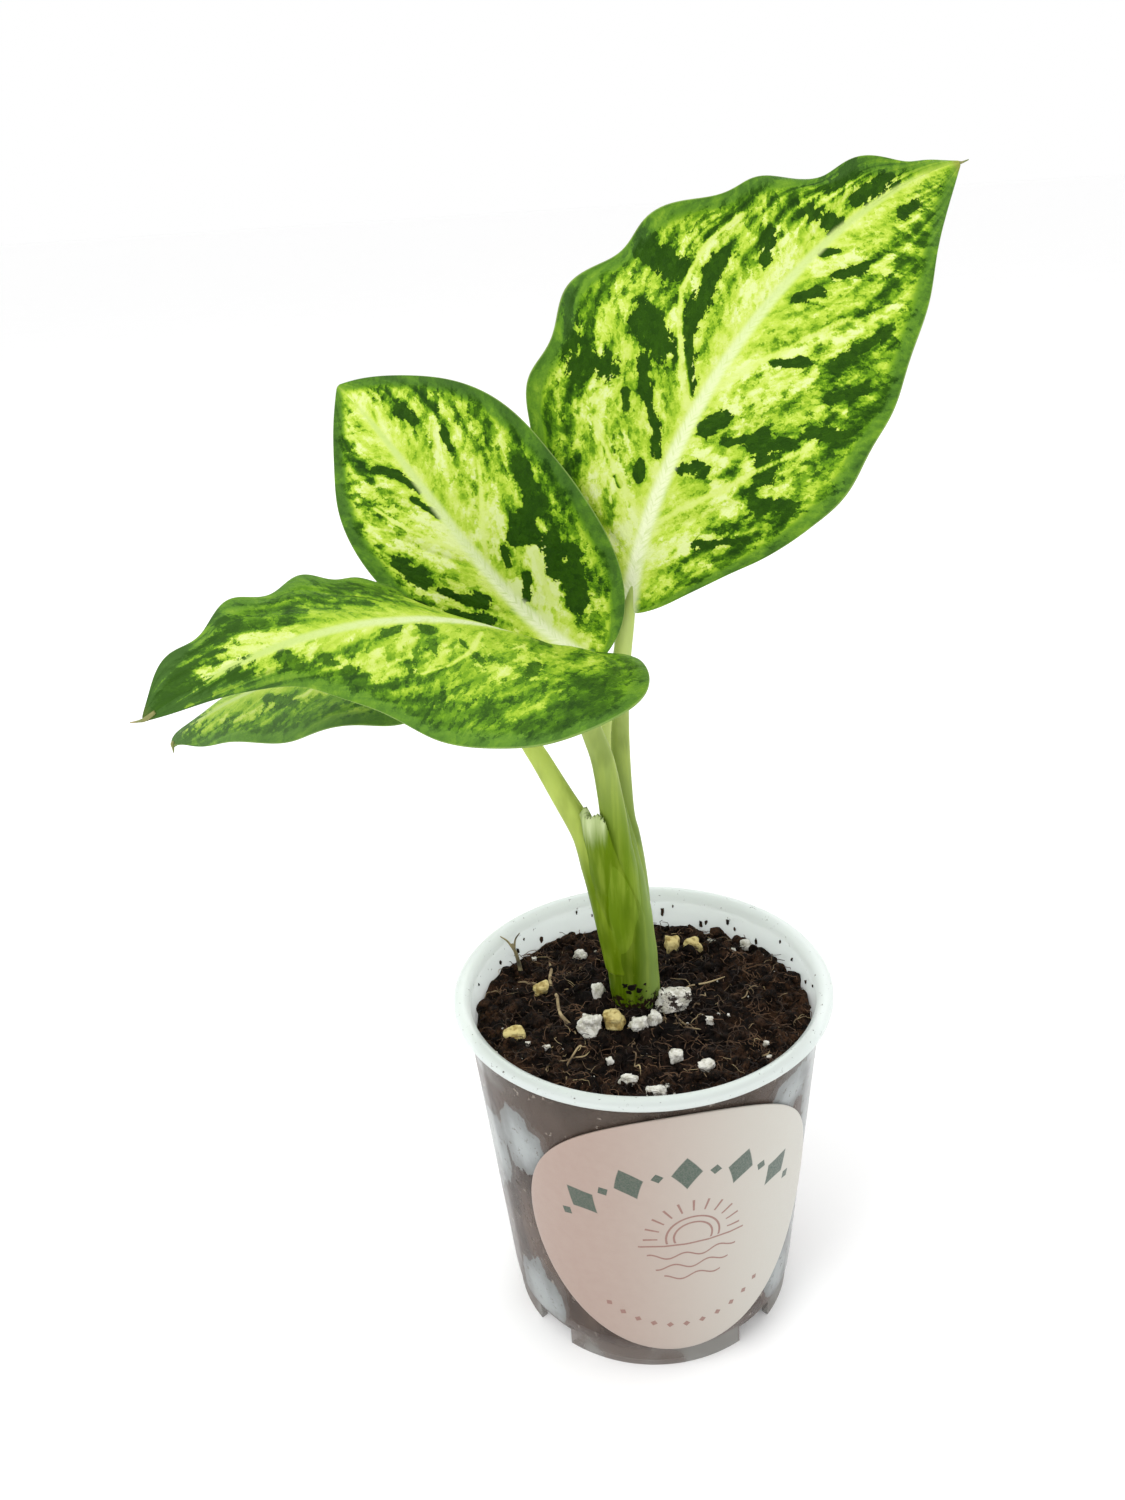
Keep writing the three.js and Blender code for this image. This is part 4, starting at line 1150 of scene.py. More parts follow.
def make_sheath_material():
    made, tree, place, shader = new_material("torn_sheath")
    look = place_effect(tree, flesh, Place=place, Low=CANE_TONES[0], High=CANE_TONES[1],
                        Foot=CANE_TONES[2] * MM, Top=CANE_TONES[3] * MM)
    fibre = grain_at(tree, place, 1100.0, (1.0, 1.0, 0.08))
    fibrous = calc(tree, "MULTIPLY_ADD", fibre["Broad"], 0.5, attribute(tree, "thin"))
    dry = soft_step(tree, fibrous, 0.45, 1.2)
    skin = mixed(tree, fibre["Broad"], color(180, 202, 122), color(218, 228, 180))
    base = mixed(tree, dry, look["Color"], skin)
    dress(tree, shader, base, 0.5, look["Height"], 0.07, 0.1)
    clear = mix_number(tree, dry, 1.0, soft_step(tree, fibre["Broad"], 0.3, 0.7, 0.84, 0.97))
    tree.links.new(clear, shader.inputs["Alpha"])
    return made


finish_piece(sheath, make_sheath_material(), "sheath", "sheath")
print("sheath box:", [round(x / MM, 1) for x in sheath.dimensions], "mm")

# %% [markdown]
# ## Nursery pot
# The pot is vacuum-formed from a thin milky plastic, so it is turned round an axis: one profile
# of the wall, foot and floor, spun into rings. The slots in the foot and the drain holes are
# cut afterwards. Its plastic lets some light through, so the dark soil shows as a brownish grey
# shade, and paler patches show where the soil has come away from the wall.

# %% Pot shape
POT_SIDES = 160
SHOULDER_RADIUS = 24.7
SHOULDER_Z = 4.1
WALL_TAPER = 0.082
WALL = 0.8
RIM_RADIUS = 31.0
FOOT_SLOT = (4.8, 7.5, 6.6)  # through the skirt, along it, and twice the slot's height
FOOT_RADIUS = 23.5
HOLE_RADIUS = 1.8
HOLE_REACH = 18  # from the axis to the middle of a drain hole


def wall_radius(z):
    return SHOULDER_RADIUS + (z - SHOULDER_Z) * WALL_TAPER


def inner_radius(z):
    return wall_radius(z) - WALL


def pot_profile():
    wall_top = wall_radius(RIM_HEIGHT)
    rim = [(wall_top + (RIM_RADIUS - wall_top) * out, RIM_HEIGHT - 1 + up) for out, up in
           ((0.2, -1.0), (0.55, -0.97), (0.8, -0.8), (0.95, -0.5), (1, -0.1), (0.97, 0.35), (0.82, 0.75),
            (0.55, 0.97), (0.2, 1.0), (-0.02, 0.93), (-0.16, 0.7))]
    rises = [(wall_radius(z), z) for z in np.linspace(6, 57.4, 15)]
    falls = [(inner_radius(z), z) for z in np.linspace(59.2, 5.6, 16)]
    profile = [(0.01, 0.0), (12, 0), (12.25, 0.12), (13, 3.4), (22.9, 3.4), (22.9, 0.1), (23.05, 0),
               (23.95, 0), (24.1, 0.12), (24.1, 3.8), (24.4, 4.1), (24.68, 4.5)]
    profile += rises + [(wall_radius(57.9), 57.9)] + rim + falls
    profile += [(inner_radius(5.3) - 0.1, 5.0), (inner_radius(4.3) - 0.4, 4.5),
                (inner_radius(4.3) - 1, 4.3), (12.3, 4.3), (12.1, 4.15), (11.4, 1.0), (11.2, 0.9),
                (0.01, 0.9)]
    return np.array(profile)


def turned(profile, sides):
    """A closed body turned round the Z axis from a profile that starts and ends near the axis."""
    turn = np.arange(sides) / sides * 2 * np.pi
    rings = np.stack([
        profile[:, 0:1] * np.cos(turn), profile[:, 0:1] * np.sin(turn),
        np.broadcast_to(profile[:, 1:2], (len(profile), sides)),
    ], -1)
    return tube(rings)


def box_points(size, centre, turn):
    corners = np.array([(x, y, z) for x in (-1, 1) for y in (-1, 1) for z in (-1, 1)]) * np.array(size) / 2
    spin = np.array([[math.cos(turn), -math.sin(turn), 0], [math.sin(turn), math.cos(turn), 0], [0, 0, 1]])
    faces = [[0, 1, 3, 2], [4, 6, 7, 5], [0, 4, 5, 1], [2, 3, 7, 6], [0, 2, 6, 4], [1, 5, 7, 3]]
    return corners @ spin.T + centre, faces


def cut(piece, cutters):
    """Takes closed shapes away from a piece."""
    knife = mesh_object("knife", *joined(cutters), smooth=False)
    face_outwards(knife)
    away = piece.modifiers.new("cut", "BOOLEAN")
    away.operation = "DIFFERENCE"
    away.solver = "EXACT"
    away.object = knife
    settle(piece)
    bpy.data.objects.remove(knife)


pot = mesh_object("nursery_pot", *turned(pot_profile(), POT_SIDES))
face_outwards(pot)
foot_slots = []
for i in range(4):
    turn = math.radians(45 + 90 * i)
    middle = (FOOT_RADIUS * math.cos(turn), FOOT_RADIUS * math.sin(turn), 0)
    foot_slots.append(box_points(FOOT_SLOT, middle, turn))
drain_holes = []
for i in range(6):
    turn = i * math.pi / 3
    x, y = HOLE_REACH * math.cos(turn), HOLE_REACH * math.sin(turn)
    drain_holes.append(rod([[x, y, 2, HOLE_RADIUS], [x, y, 6, HOLE_RADIUS]], 2, 32))
cut(pot, foot_slots + drain_holes)
print("pot:", len(pot.data.polygons), "faces", [round(x / MM, 1) for x in pot.dimensions], "mm")

# %% Pot plastic
GAPS = [  # patches where the soil has come away: degrees from the front to the right, z, half sizes
    (-78, 35, 28, 13), (-46, 42.5, 13, 8), (-63, 37, 13, 10), (-50, 8, 17, 9), (-84, 14, 14, 8),
    (72, 30, 13, 36), (52, 51, 12, 4), (58, 10, 12, 6), (112, 20, 9, 11), (148, 32, 13, 9),
    (-120, 38, 12, 7), (-137, 15, 10, 5), (176, 12, 13, 4), (186, 44, 9, 5),
]


def keep_gap_field(piece):
    """How near each point of the wall is to the middle of an air gap, 1 to -1."""
    x, y, z = point_places(piece)
    turn = np.degrees(np.arctan2(x, -y))
    field = np.full(len(x), -1.0)
    for gap_turn, gap_z, wide, tall in GAPS:
        around = (turn - gap_turn + 180) % 360 - 180
        field = np.maximum(field, 1.5 * (1 - np.hypot(around / wide, (z - gap_z) / tall)))
    keep_number(piece, "gap", field)


def make_pot_material():
    made, tree, place, shader = new_material("milky_plastic")
    flow = grain_at(tree, place, 110.0, (1.0, 1.0, 0.6))
    axes = axes_of(tree, place)
    height = axes["Z"]
    jag = calc(tree, "MULTIPLY_ADD", flow["Broad"], 2.4, attribute(tree, "gap"))
    jag = calc(tree, "MULTIPLY_ADD", flow["Fine"], 0.6, jag)
    gap = soft_step(tree, jag, 1.64, 1.69)
    rim = soft_step(tree, height, 57.6 * MM, 58.3 * MM)
    foot = soft_step(tree, height, 3.0 * MM, 5.0 * MM, 1.0, 0.0)
    above_soil = soft_step(tree, height, 51.4 * MM, 53.2 * MM)
    free = times(tree, above_soil, soft_step(tree, axes["Y"], -22 * MM, 6 * MM))
    high = soft_step(tree, height, 54.5 * MM, 57.5 * MM, 0.0, 0.1)
    speck = dirt_at(tree, place, 900.0, high)
    # Brown where the soil shows through the plastic, and darkened as painted shade.
    soiled = mixed(tree, soft_step(tree, flow["Broad"], 0.35, 0.6), color(74, 61, 54), color(108, 91, 81))
    # Painted shadow of the rim: the wall darkens towards the top.
    soiled = mixed(tree, soft_step(tree, height, 44 * MM, 57 * MM, 0.0, 0.7), soiled, color(88, 78, 70))
    soiled = mixed(tree, soft_step(tree, flow["Fine"], 0.5, 0.62, 0.0, 0.4), soiled, color(76, 66, 60))
    pearl = soft_step(tree, cloud(tree, place, 640.0, 2.0), 0.66, 0.71, 0.0, 0.5)
    soiled = mixed(tree, pearl, soiled, color(190, 180, 168))
    stuck = dirt_at(tree, place, 620.0, 0.17)
    clean = mixed(tree, soft_step(tree, jag, 1.66, 2.6), color(140, 143, 142), color(184, 190, 190))
    clean = mixed(tree, times(tree, stuck, 0.7), clean, color(104, 92, 84))
    low = mixed(tree, soft_step(tree, flow["Broad"], 0.42, 0.56), color(122, 108, 99), color(158, 156, 150))
    base = mixed(tree, gap, soiled, clean)
    base = mixed(tree, foot, base, low)
    base = mixed(tree, free, base, color(234, 244, 241))
    base = mixed(tree, rim, base, color(226, 234, 231))
    base = mixed(tree, speck, base, color(60, 48, 40))
    alpha = soft_step(tree, flow["Fine"], 0.35, 0.65, 0.54, 0.68)
    alpha = mix_number(tree, gap, alpha, 0.6)
    alpha = mix_number(tree, foot, alpha, 0.5)
    alpha = mix_number(tree, free, alpha, 0.52)
    alpha = mix_number(tree, rim, alpha, 0.68)
    alpha = calc(tree, "MAXIMUM", alpha, speck)
    dress(tree, shader, base, 0.28, flow["Fine"], 0.04, 0.25)
    tree.links.new(alpha, shader.inputs["Alpha"])
    return made


keep_gap_field(pot)
finish_piece(pot, make_pot_material(), "pot", "pot")

# %% [markdown]
# ## Label
# A paper disc lies on the front of the pot and bends with it: satin, a dull pink on the left and
# a greyish white on the right. It carries a made-up print: an arc of diamonds and dots in dark
# green, and in pinkish brown a line drawing of a sun over water with a row of small diamonds
# below. The print is drawn by sums on two numbers that each point of the disc keeps, its
# distance across and up from the middle.

# %% Label
LABEL_RADIUS = 25.6
LABEL_TURN = math.radians(11.5)
LABEL_Z = 30.4
LABEL_OFF = (0.3, 0.62)  # from the wall to the back and to the front of the disc
PRINT_LINE = 0.17  # half the width of a printed line
ARC_CENTRE, ARC_RADIUS, ARC_STEPS = -8.0, 22.0, 16  # diamonds and dots in an arc
SUN_X, SUN_Y, SUN_CUT = 1.0, 0.5, -0.6  # the middle of the sun, and where the water hides it
WATER_LINES = (-1.0, -3.4, -5.8, -8.2)
BEAD_RADIUS, BEAD_STEPS = 19.5, 44  # small diamonds along the lower edge


def label_point(across, up, out):
    turn = LABEL_TURN + across / wall_radius(LABEL_Z)
    radius = wall_radius(LABEL_Z + up) + out
    return np.stack([radius * np.sin(turn), -radius * np.cos(turn), LABEL_Z + up], -1)


def label_parts():
    reach = LABEL_RADIUS * np.array([0.14, 0.28, 0.42, 0.56, 0.7, 0.82, 0.91, 0.97, 0.993, 1.0])
    turn = np.arange(120) / 120 * 2 * np.pi
    away = reach[:, None]
    across, up = away * np.cos(turn), away * np.sin(turn)
    rim_drop = np.where(away >= LABEL_RADIUS, 0.07, np.where(away > 0.99 * LABEL_RADIUS, 0.02, 0.0))
    front = label_point(across, up, LABEL_OFF[1] - rim_drop)
    back = label_point(across, up, LABEL_OFF[0])
    points, faces = tube(np.concatenate([front, back[::-1]], 0))
    points[-2] = label_point(0.0, 0.0, LABEL_OFF[1])
    points[-1] = label_point(0.0, 0.0, LABEL_OFF[0])
    return points, faces


label = mesh_object("label_disc", *label_parts())
face_outwards(label)


def keep_label_place(piece):
    """Millimetres across and up from the middle of the disc, and whether a point is on its front."""
    x, y, z = point_places(piece)
    keep_number(piece, "label_across", (np.arctan2(x, -y) - LABEL_TURN) * wall_radius(LABEL_Z))
    keep_number(piece, "label_up", z - LABEL_Z)
    keep_number(piece, "label_front", np.hypot(x, y) - wall_radius(z) > sum(LABEL_OFF) / 2)


def around_point(tree, across, up, x, y):
    """Distance and direction (radians from the top, clockwise) from a point of the label."""
    right, high = minus(tree, across, x), minus(tree, up, y)
    squares = [calc(tree, "POWER", value, 2.0) for value in (right, high)]
    return calc(tree, "SQRT", calc(tree, "ADD", *squares)), calc(tree, "ARCTAN2", right, high)


def ring_of(tree, away, angle, radius, count, reach, shift=0.0):
    """Where a point lies in the nearest of the marks round a ring, within reach steps of the top."""
    step = 2 * math.pi / count
    turn = calc(tree, "ADD", calc(tree, "DIVIDE", angle, step), shift)
    nearest = calc(tree, "ROUND", turn)
    outside = calc(tree, "GREATER_THAN", size_of(tree, minus(tree, turn, shift)), reach)
    side = times(tree, minus(tree, turn, nearest), step * radius)
    return size_of(tree, side), size_of(tree, minus(tree, away, radius)), outside


def inked(tree, gap, outside=0.0):
    """1 where the distance to a mark's edge is below 0, with an edge as sharp as print."""
    return minus(tree, soft_step(tree, gap, -0.05, 0.05, 1.0, 0.0), outside, clamp=True)


def make_print_effect():
    inputs = [("Across", "number", 0.0), ("Up", "number", 0.0)]
    tree, given, result = effect("label_print", inputs, [("Bold", "number"), ("Line", "number")])
    across, up = given["Across"], given["Up"]
    away, angle = around_point(tree, across, up, 0.0, ARC_CENTRE)
    side, out, outside = ring_of(tree, away, angle, ARC_RADIUS, ARC_STEPS, 2.4)
    sum_of = calc(tree, "ADD", calc(tree, "DIVIDE", side, 2.3), calc(tree, "DIVIDE", out, 3.2))
    diamonds = inked(tree, minus(tree, sum_of, 1.0), outside)
    side, out, outside = ring_of(tree, away, angle, ARC_RADIUS, ARC_STEPS, 2.9, 0.5)
    dots = inked(tree, minus(tree, calc(tree, "ADD", side, out), 0.95), outside)
    tree.links.new(calc(tree, "MAXIMUM", diamonds, dots), result["Bold"])

    away, angle = around_point(tree, across, up, SUN_X, SUN_Y)
    low_half = calc(tree, "LESS_THAN", up, SUN_CUT)
    circles = []
    for radius in (3.0, 4.2):
        off_circle = size_of(tree, minus(tree, away, radius))
        circles.append(inked(tree, minus(tree, off_circle, PRINT_LINE), low_half))
    side, out, outside = ring_of(tree, away, angle, 6.6, 20, 5.4)
    off_ray = calc(tree, "MAXIMUM", minus(tree, side, PRINT_LINE), minus(tree, out, 1.1))
    rays = inked(tree, off_ray, outside)
    lines = calc(tree, "MAXIMUM", calc(tree, "MAXIMUM", *circles), rays)
    for i, height in enumerate(WATER_LINES):
        wave = calc(tree, "SINE", calc(tree, "MULTIPLY_ADD", across, 1.15, 1.9 * i))
        gap = minus(tree, minus(tree, up, height), times(tree, wave, 0.5 if i else 0.0))
        reach = size_of(tree, minus(tree, across, SUN_X))
        past_end = calc(tree, "GREATER_THAN", reach, 8.5 - 1.3 * i)
        line = inked(tree, minus(tree, size_of(tree, gap), PRINT_LINE), past_end)
        lines = calc(tree, "MAXIMUM", lines, line)
    away, angle = around_point(tree, across, times(tree, up, -1.0), 0.0, 0.0)
    side, out, outside = ring_of(tree, away, angle, BEAD_RADIUS, BEAD_STEPS, 5.5)
    beads = inked(tree, minus(tree, calc(tree, "ADD", side, out), 0.62), outside)
    tree.links.new(calc(tree, "MAXIMUM", lines, beads), result["Line"])
    return tree


label_print = make_print_effect()


def make_label_material():
    made, tree, place, shader = new_material("label_paper")
    fibre = grain_at(tree, place, 700.0)
    side = axes_of(tree, place)["X"]
    # The paper's own pink and greyish white, darkened as painted shade.
    base = mixed(tree, soft_step(tree, side, -14 * MM, 26 * MM), color(157, 134, 123), color(188, 187, 178))
    base = mixed(tree, times(tree, fibre["Broad"], 0.25), base, color(184, 170, 160))
    ink = place_effect(tree, label_print, Across=attribute(tree, "label_across"),
                       Up=attribute(tree, "label_up"))
    front = attribute(tree, "label_front")
    worn = soft_step(tree, fibre["Fine"], 0.3, 0.7, 0.8, 0.95)
    for print_name, tone in (("Bold", color(34, 64, 50)), ("Line", color(132, 92, 82))):
        base = mixed(tree, times(tree, times(tree, ink[print_name], worn), front), base, tone)
    dress(tree, shader, base, soft_step(tree, fibre["Fine"], 0.3, 0.7, 0.34, 0.44), fibre["Fine"], 0.015)
    return made


keep_label_place(label)
finish_piece(label, make_label_material(), "label", "label")
print("label:", [round(x / MM, 1) for x in label.dimensions], "mm")

# %% [markdown]
# ## Soil
# Potting soil is a dark crumbly mass. Its top is a fine polar net that follows the measured
# mound, with lumps and pits. Its side is lumpy too, because it shows through the pot. Loose
# crumbs, fibres and tiny white granules are scattered on the top by Geometry Nodes: points are
# spread over the faces that look up, each gets a small ball of random size, and noise then
# breaks the balls, so no two crumbs are alike.

# %% Soil body
SOIL_EDGE_Z = 53.2
SOIL_MOUND = 1.7
STEM_FOOT = (-1.0, 2.2)


def soil_top(x, y):
    away = math.hypot(x - STEM_FOOT[0], y - STEM_FOOT[1])
    waves = math.sin(0.9 * x + 1.1) * math.cos(0.8 * y - 0.4) + 0.6 * math.sin(0.45 * x - 1.3 * y)
    return SOIL_EDGE_Z + SOIL_MOUND * math.exp(-((away / 13) ** 2)) + 0.45 * waves


def lumps(place, size, detail=3):
    return noise.fractal(Vector(place) / size, 0.8, 2.2, detail)


def soil_parts():
    rings, sides = 110, 300
    turn = np.arange(sides) / sides * 2 * math.pi
    edge = inner_radius(53) - 0.42
    rows = []
    for away in np.sqrt(np.linspace(0.0004, 1, rings)) * edge:
        row = []
        for angle in turn:
            x, y = away * math.cos(angle), away * math.sin(angle)
            rough = 0.95 * lumps((x, y, 3), 2.6) + 0.4 * lumps((x, y, 9), 0.8, 2)
            calm = min(1, (edge - away) / 1.5 + 0.5)
            piled = 2.4 * max(0, lumps((x, y, 21), 9, 2)) * max(0, (away - 17) / 10)
            row.append((x, y, soil_top(x, y) + rough * calm + piled))
        rows.append(row)
    for z in np.linspace(52.6, 5.2, 44):
        row = []
        for angle in turn:
            full = inner_radius(z) - 0.12
            x, y = math.cos(angle), math.sin(angle)
            radius = full - abs(0.5 * lumps((x * full, y * full, z), 5.0))
            row.append((radius * x, radius * y, z))
        rows.append(row)
    for radius, z in ((inner_radius(4.6) - 1.6, 4.7), (16, 4.7), (10.6, 4.7), (10.4, 1.3), (0.3, 1.3)):
        rows.append([(radius * math.cos(angle), radius * math.sin(angle), z) for angle in turn])
    return tube(np.array(rows))


soil = mesh_object("soil_body", *soil_parts())
face_outwards(soil)
print("soil:", len(soil.data.polygons), "faces")

# %% Soil material
def make_soil_material(name, dark, brown):
    made, tree, place, shader = new_material(name)
    crumb = grain_at(tree, place, 520.0)
    fibre = grain_at(tree, place, 1500.0, (1.0, 0.25, 1.0))
    broad = cloud(tree, place, 95.0, 3.0)
    ragged_away = calc(tree, "MULTIPLY_ADD", broad, 24 * MM, from_axis(tree, place))
    dry = soft_step(tree, ragged_away, 20 * MM, 40 * MM)
    brown = mixed(tree, dry, brown, color(70, 48, 33))
    base = mixed(tree, soft_step(tree, crumb["Broad"], 0.42, 0.66), dark, brown)
    thread = soft_step(tree, fibre["Fine"], 0.56, 0.68, 0.0, 0.7)
    base = mixed(tree, times(tree, thread, dry), base, color(104, 74, 52))
    # Painted shade: the pits of the fine relief are painted nearly black, as shade between crumbs.
    base = mixed(tree, soft_step(tree, crumb["Fine"], 0.52, 0.36, 0.0, 0.85), base, color(5, 3, 2))
    height = calc(tree, "MULTIPLY_ADD", crumb["Fine"], 0.6, times(tree, fibre["Broad"], 0.4))
    dress(tree, shader, base, soft_step(tree, crumb["Fine"], 0.3, 0.7, 0.7, 0.95), height, 0.7, 0.12)
    return made


soil_look = make_soil_material("soil", color(13, 8, 6), color(40, 28, 21))
finish_piece(soil, soil_look, "soil", "soil")

# %% Scatter by Geometry Nodes
SCATTER_REACH = 26.9  # mm from the axis, so that no crumb reaches the wall
FULL_TURN = 6.283  # radians


def facing_up(tree):
    """Picks the faces of the soil's top."""
    place = put(tree, "GeometryNodeInputPosition").outputs[0]
    normal = put(tree, "GeometryNodeInputNormal").outputs[0]
    level = calc(tree, "GREATER_THAN", axes_of(tree, normal)["Z"], 0.35)
    high = calc(tree, "GREATER_THAN", axes_of(tree, place)["Z"], 50 * MM)
    inside = calc(tree, "LESS_THAN", from_axis(tree, place), SCATTER_REACH * MM)
    return times(tree, times(tree, level, high), inside)


def new_growth(name, *numbers):
    """A Geometry Nodes tree with a mesh in, a mesh out, named numbers and a seed."""
    tree = bpy.data.node_groups.new(name, "GeometryNodeTree")
    kinds = [("Geometry", "Geometry"), *((number, "Float") for number in numbers), ("Seed", "Int")]
    for socket_name, kind in kinds:
        tree.interface.new_socket(name=socket_name, in_out="INPUT", socket_type="NodeSocket" + kind)
    tree.interface.new_socket(name="Geometry", in_out="OUTPUT", socket_type="NodeSocketGeometry")
    return tree, tree.nodes.new("NodeGroupInput").outputs, tree.nodes.new("NodeGroupOutput").inputs[0]


def random_size(tree, given, low, high):
    inputs = {2: given[low], 3: given[high], "Seed": given["Seed"]}
    return put(tree, "FunctionNodeRandomValue", inputs, data_type="FLOAT").outputs[1]


def random_vector(tree, low, high):
    return put(tree, "FunctionNodeRandomValue", {0: low, 1: high}, data_type="FLOAT_VECTOR").outputs[0]


def sown(tree, given, thing, turn, scale):
    """Copies of a thing on points spread over the soil's top, made real."""
    spread = put(tree, "GeometryNodeDistributePointsOnFaces", {
        "Mesh": given["Geometry"], "Density": given["Density"], "Seed": given["Seed"],
        "Selection": facing_up(tree),
    }, distribute_method="RANDOM")
    inputs = {"Points": spread.outputs["Points"], "Instance": thing, "Rotation": turn, "Scale": scale}
    placed = put(tree, "GeometryNodeInstanceOnPoints", inputs)
    return put(tree, "GeometryNodeRealizeInstances", {"Geometry": placed.outputs[0]}).outputs[0]


def pushed_about(tree, shape, scale, detail, middle, amount):
    """A shape whose points are moved by noise."""
    place = put(tree, "GeometryNodeInputPosition").outputs[0]
    push = noise_push(tree, place, scale, detail, middle, amount)
    return put(tree, "GeometryNodeSetPosition", {"Geometry": shape, "Offset": push}).outputs[0]


def give_out(tree, shape, material, result):
    """Ends a tree: the shape gets its material and leaves it."""
    painted = put(tree, "GeometryNodeSetMaterial", {"Geometry": shape, "Material": material})
    tree.links.new(painted.outputs[0], result)
    return tree


def make_scatter(name, material):
    """Broken balls spread over the faces that look up, as a tree with named sizes."""
    tree, given, result = new_growth(name, "Density", "Smallest", "Largest", "Break")
    ball = put(tree, "GeometryNodeMeshIcoSphere", {"Radius": 1.0, "Subdivisions": 2}).outputs["Mesh"]
    size = random_size(tree, given, "Smallest", "Largest")
    turn = random_vector(tree, (0, 0, 0), (FULL_TURN, FULL_TURN, FULL_TURN))
    shape = random_vector(tree, (0.6, 0.6, 0.5), (1.3, 1.3, 1.0))
    real = sown(tree, given, ball, turn, vector_calc(tree, "SCALE", shape, size))
    broken = pushed_about(tree, real, 1400.0, 2.0, (0.5, 0.5, 0.5), given["Break"])
    return give_out(tree, broken, material, result)


def scatter(name, base, tree, slot, **sizes):
    """A new piece made by a Geometry Nodes tree from the faces of another."""
    made = stand(name, base.data.copy())
    grow = made.modifiers.new("grow", "NODES")
    grow.node_group = tree
    for item in tree.interface.items_tree:
        if item.item_type == "SOCKET" and item.in_out == "INPUT" and item.name in sizes:
            grow[item.identifier] = sizes[item.name]
    settle(made)
    painter = next(node for node in tree.nodes if node.bl_idname == "GeometryNodeSetMaterial")
    finish_piece(made, painter.inputs[2].default_value, slot)
    print(name, len(made.data.polygons), "faces")
    return made


# %% [markdown]
# Fibres lie between the crumbs. They use the same idea with a curve instead of a ball: each
# point gets a small arc, the arcs are bent by noise, and a thin three-sided profile gives them
# their thickness.


# %% Fibres by Geometry Nodes
def make_fibre_tree(name, material):
    tree, given, result = new_growth(name, "Density", "Shortest", "Longest", "Thickness")
    arc = put(tree, "GeometryNodeCurveQuadraticBezier", {
        "Resolution": 7, "Start": (-0.5, 0, 0), "Middle": (0.05, 0.45, 0.22), "End": (0.5, 0.1, 0.05),
    }).outputs[0]
    size = random_size(tree, given, "Shortest", "Longest")
    turn = random_vector(tree, (-0.35, -0.35, 0), (0.35, 0.35, FULL_TURN))
    bent = pushed_about(tree, sown(tree, given, arc, turn, size), 700.0, 1.0, (0.5, 0.5, 0.4), 1.6 * MM)
    profile = put(tree, "GeometryNodeCurvePrimitiveCircle", {"Resolution": 3, "Radius": given["Thickness"]})
    inputs = {"Curve": bent, "Profile Curve": profile.outputs[0], "Fill Caps": True}
    return give_out(tree, put(tree, "GeometryNodeCurveToMesh", inputs).outputs[0], material, result)


fibre_look = make_thread_material("soil_fibre", color(34, 22, 15), color(104, 76, 52))
root_look = make_thread_material("dry_root", color(104, 84, 60), color(182, 162, 122))
scatter("soil_fibres", soil, make_fibre_tree("fibres", fibre_look), "soil", Density=420000.0,
        Shortest=1.2 * MM, Longest=4.2 * MM, Thickness=0.07 * MM, Seed=9)
scatter("pale_fibres", soil, make_fibre_tree("pale_fibres", root_look), "soil", Density=26000.0,
        Shortest=1.5 * MM, Longest=5.0 * MM, Thickness=0.06 * MM, Seed=21)

# %% Dry roots
DRY_ROOTS = [  # x, y of points that lie on the soil, and half the thickness
    ([(-16.4, 15.5), (-15.4, 7.4), (-13.8, 0.0), (-11.1, -6.4)], 0.3),
    ([(14.3, 7.4), (8.2, 5.3), (5.8, 0.5), (5.7, -3.6), (7.5, -6.4)], 0.15),
    ([(10.6, 3.2), (7.7, -2.3)], 0.14), ([(1.9, -4.3), (9.1, -6.4)], 0.12),
    ([(-9.5, -7.0), (-10.2, -10.8), (-12.4, -14.5), (-11.5, -18.2), (-9.7, -19.4)], 0.16),
    ([(-8.6, -10.9), (-11.7, -12.8), (-14.9, -13.2), (-15.8, -16.8)], 0.13),
    ([(-1.7, -8.6), (-1.6, -12.5), (-0.8, -16.7)], 0.12),
    ([(19.7, -12.0), (16.5, -14.0), (13.3, -14.3)], 0.13),
    ([(-21.5, 9.0), (-17.5, 8.5), (-15.0, 10.5)], 0.16), ([(16.0, 2.0), (20.0, 5.5), (22.5, 3.0)], 0.12),
]
TWIG = [  # x, y, z and half the thickness
    [(-21.2, 12.6, 53.6, 0.42), (-21.8, 13.6, 56.2, 0.34), (-22.6, 14.6, 58.3, 0.22)],
    [(-22.2, 14.1, 57.2, 0.24), (-23.4, 14.8, 58.7, 0.18), (-24.6, 15.0, 59.6, 0.1)],
    [(-22.2, 14.1, 57.2, 0.22), (-22.0, 15.0, 58.8, 0.16), (-21.2, 15.6, 59.8, 0.1)],
]


def lying(points, thick):
    """Stations that follow the soil, with a slight wriggle and thin ends."""
    line = line_points([[x, y] for x, y in points], 9)
    stations = []
    for i, (x, y) in enumerate(line):
        lift = 0.55 + 0.35 * math.sin(2.3 * i + x)
        ends = 0.35 if i in (0, 8) else 1
        place = [x + 0.3 * math.sin(1.9 * i), y + 0.3 * math.cos(2.7 * i), soil_top(x, y) + lift]
        stations.append(place + [thick * ends])
    return stations


roots = mesh_object("dry_roots", *joined([rod(lying(points, thick), 40, 6) for points, thick in DRY_ROOTS]))
finish_piece(roots, root_look, "soil")
twig = mesh_object("twig", *joined([rod(points, 12, 7) for points in TWIG]))
finish_piece(twig, make_thread_material("twig", color(36, 30, 24), color(148, 136, 98)), "soil")

# %% Crumbs
crumb_tree = make_scatter("crumbs", soil_look)
scatter("soil_crumbs", soil, crumb_tree, "soil", Density=460000.0, Smallest=0.12 * MM, Largest=0.95 * MM,
        Break=1.1 * MM, Seed=5)
scatter("soil_clods", soil, crumb_tree, "soil", Density=34000.0, Smallest=0.8 * MM, Largest=1.6 * MM,
        Break=1.6 * MM, Seed=33)

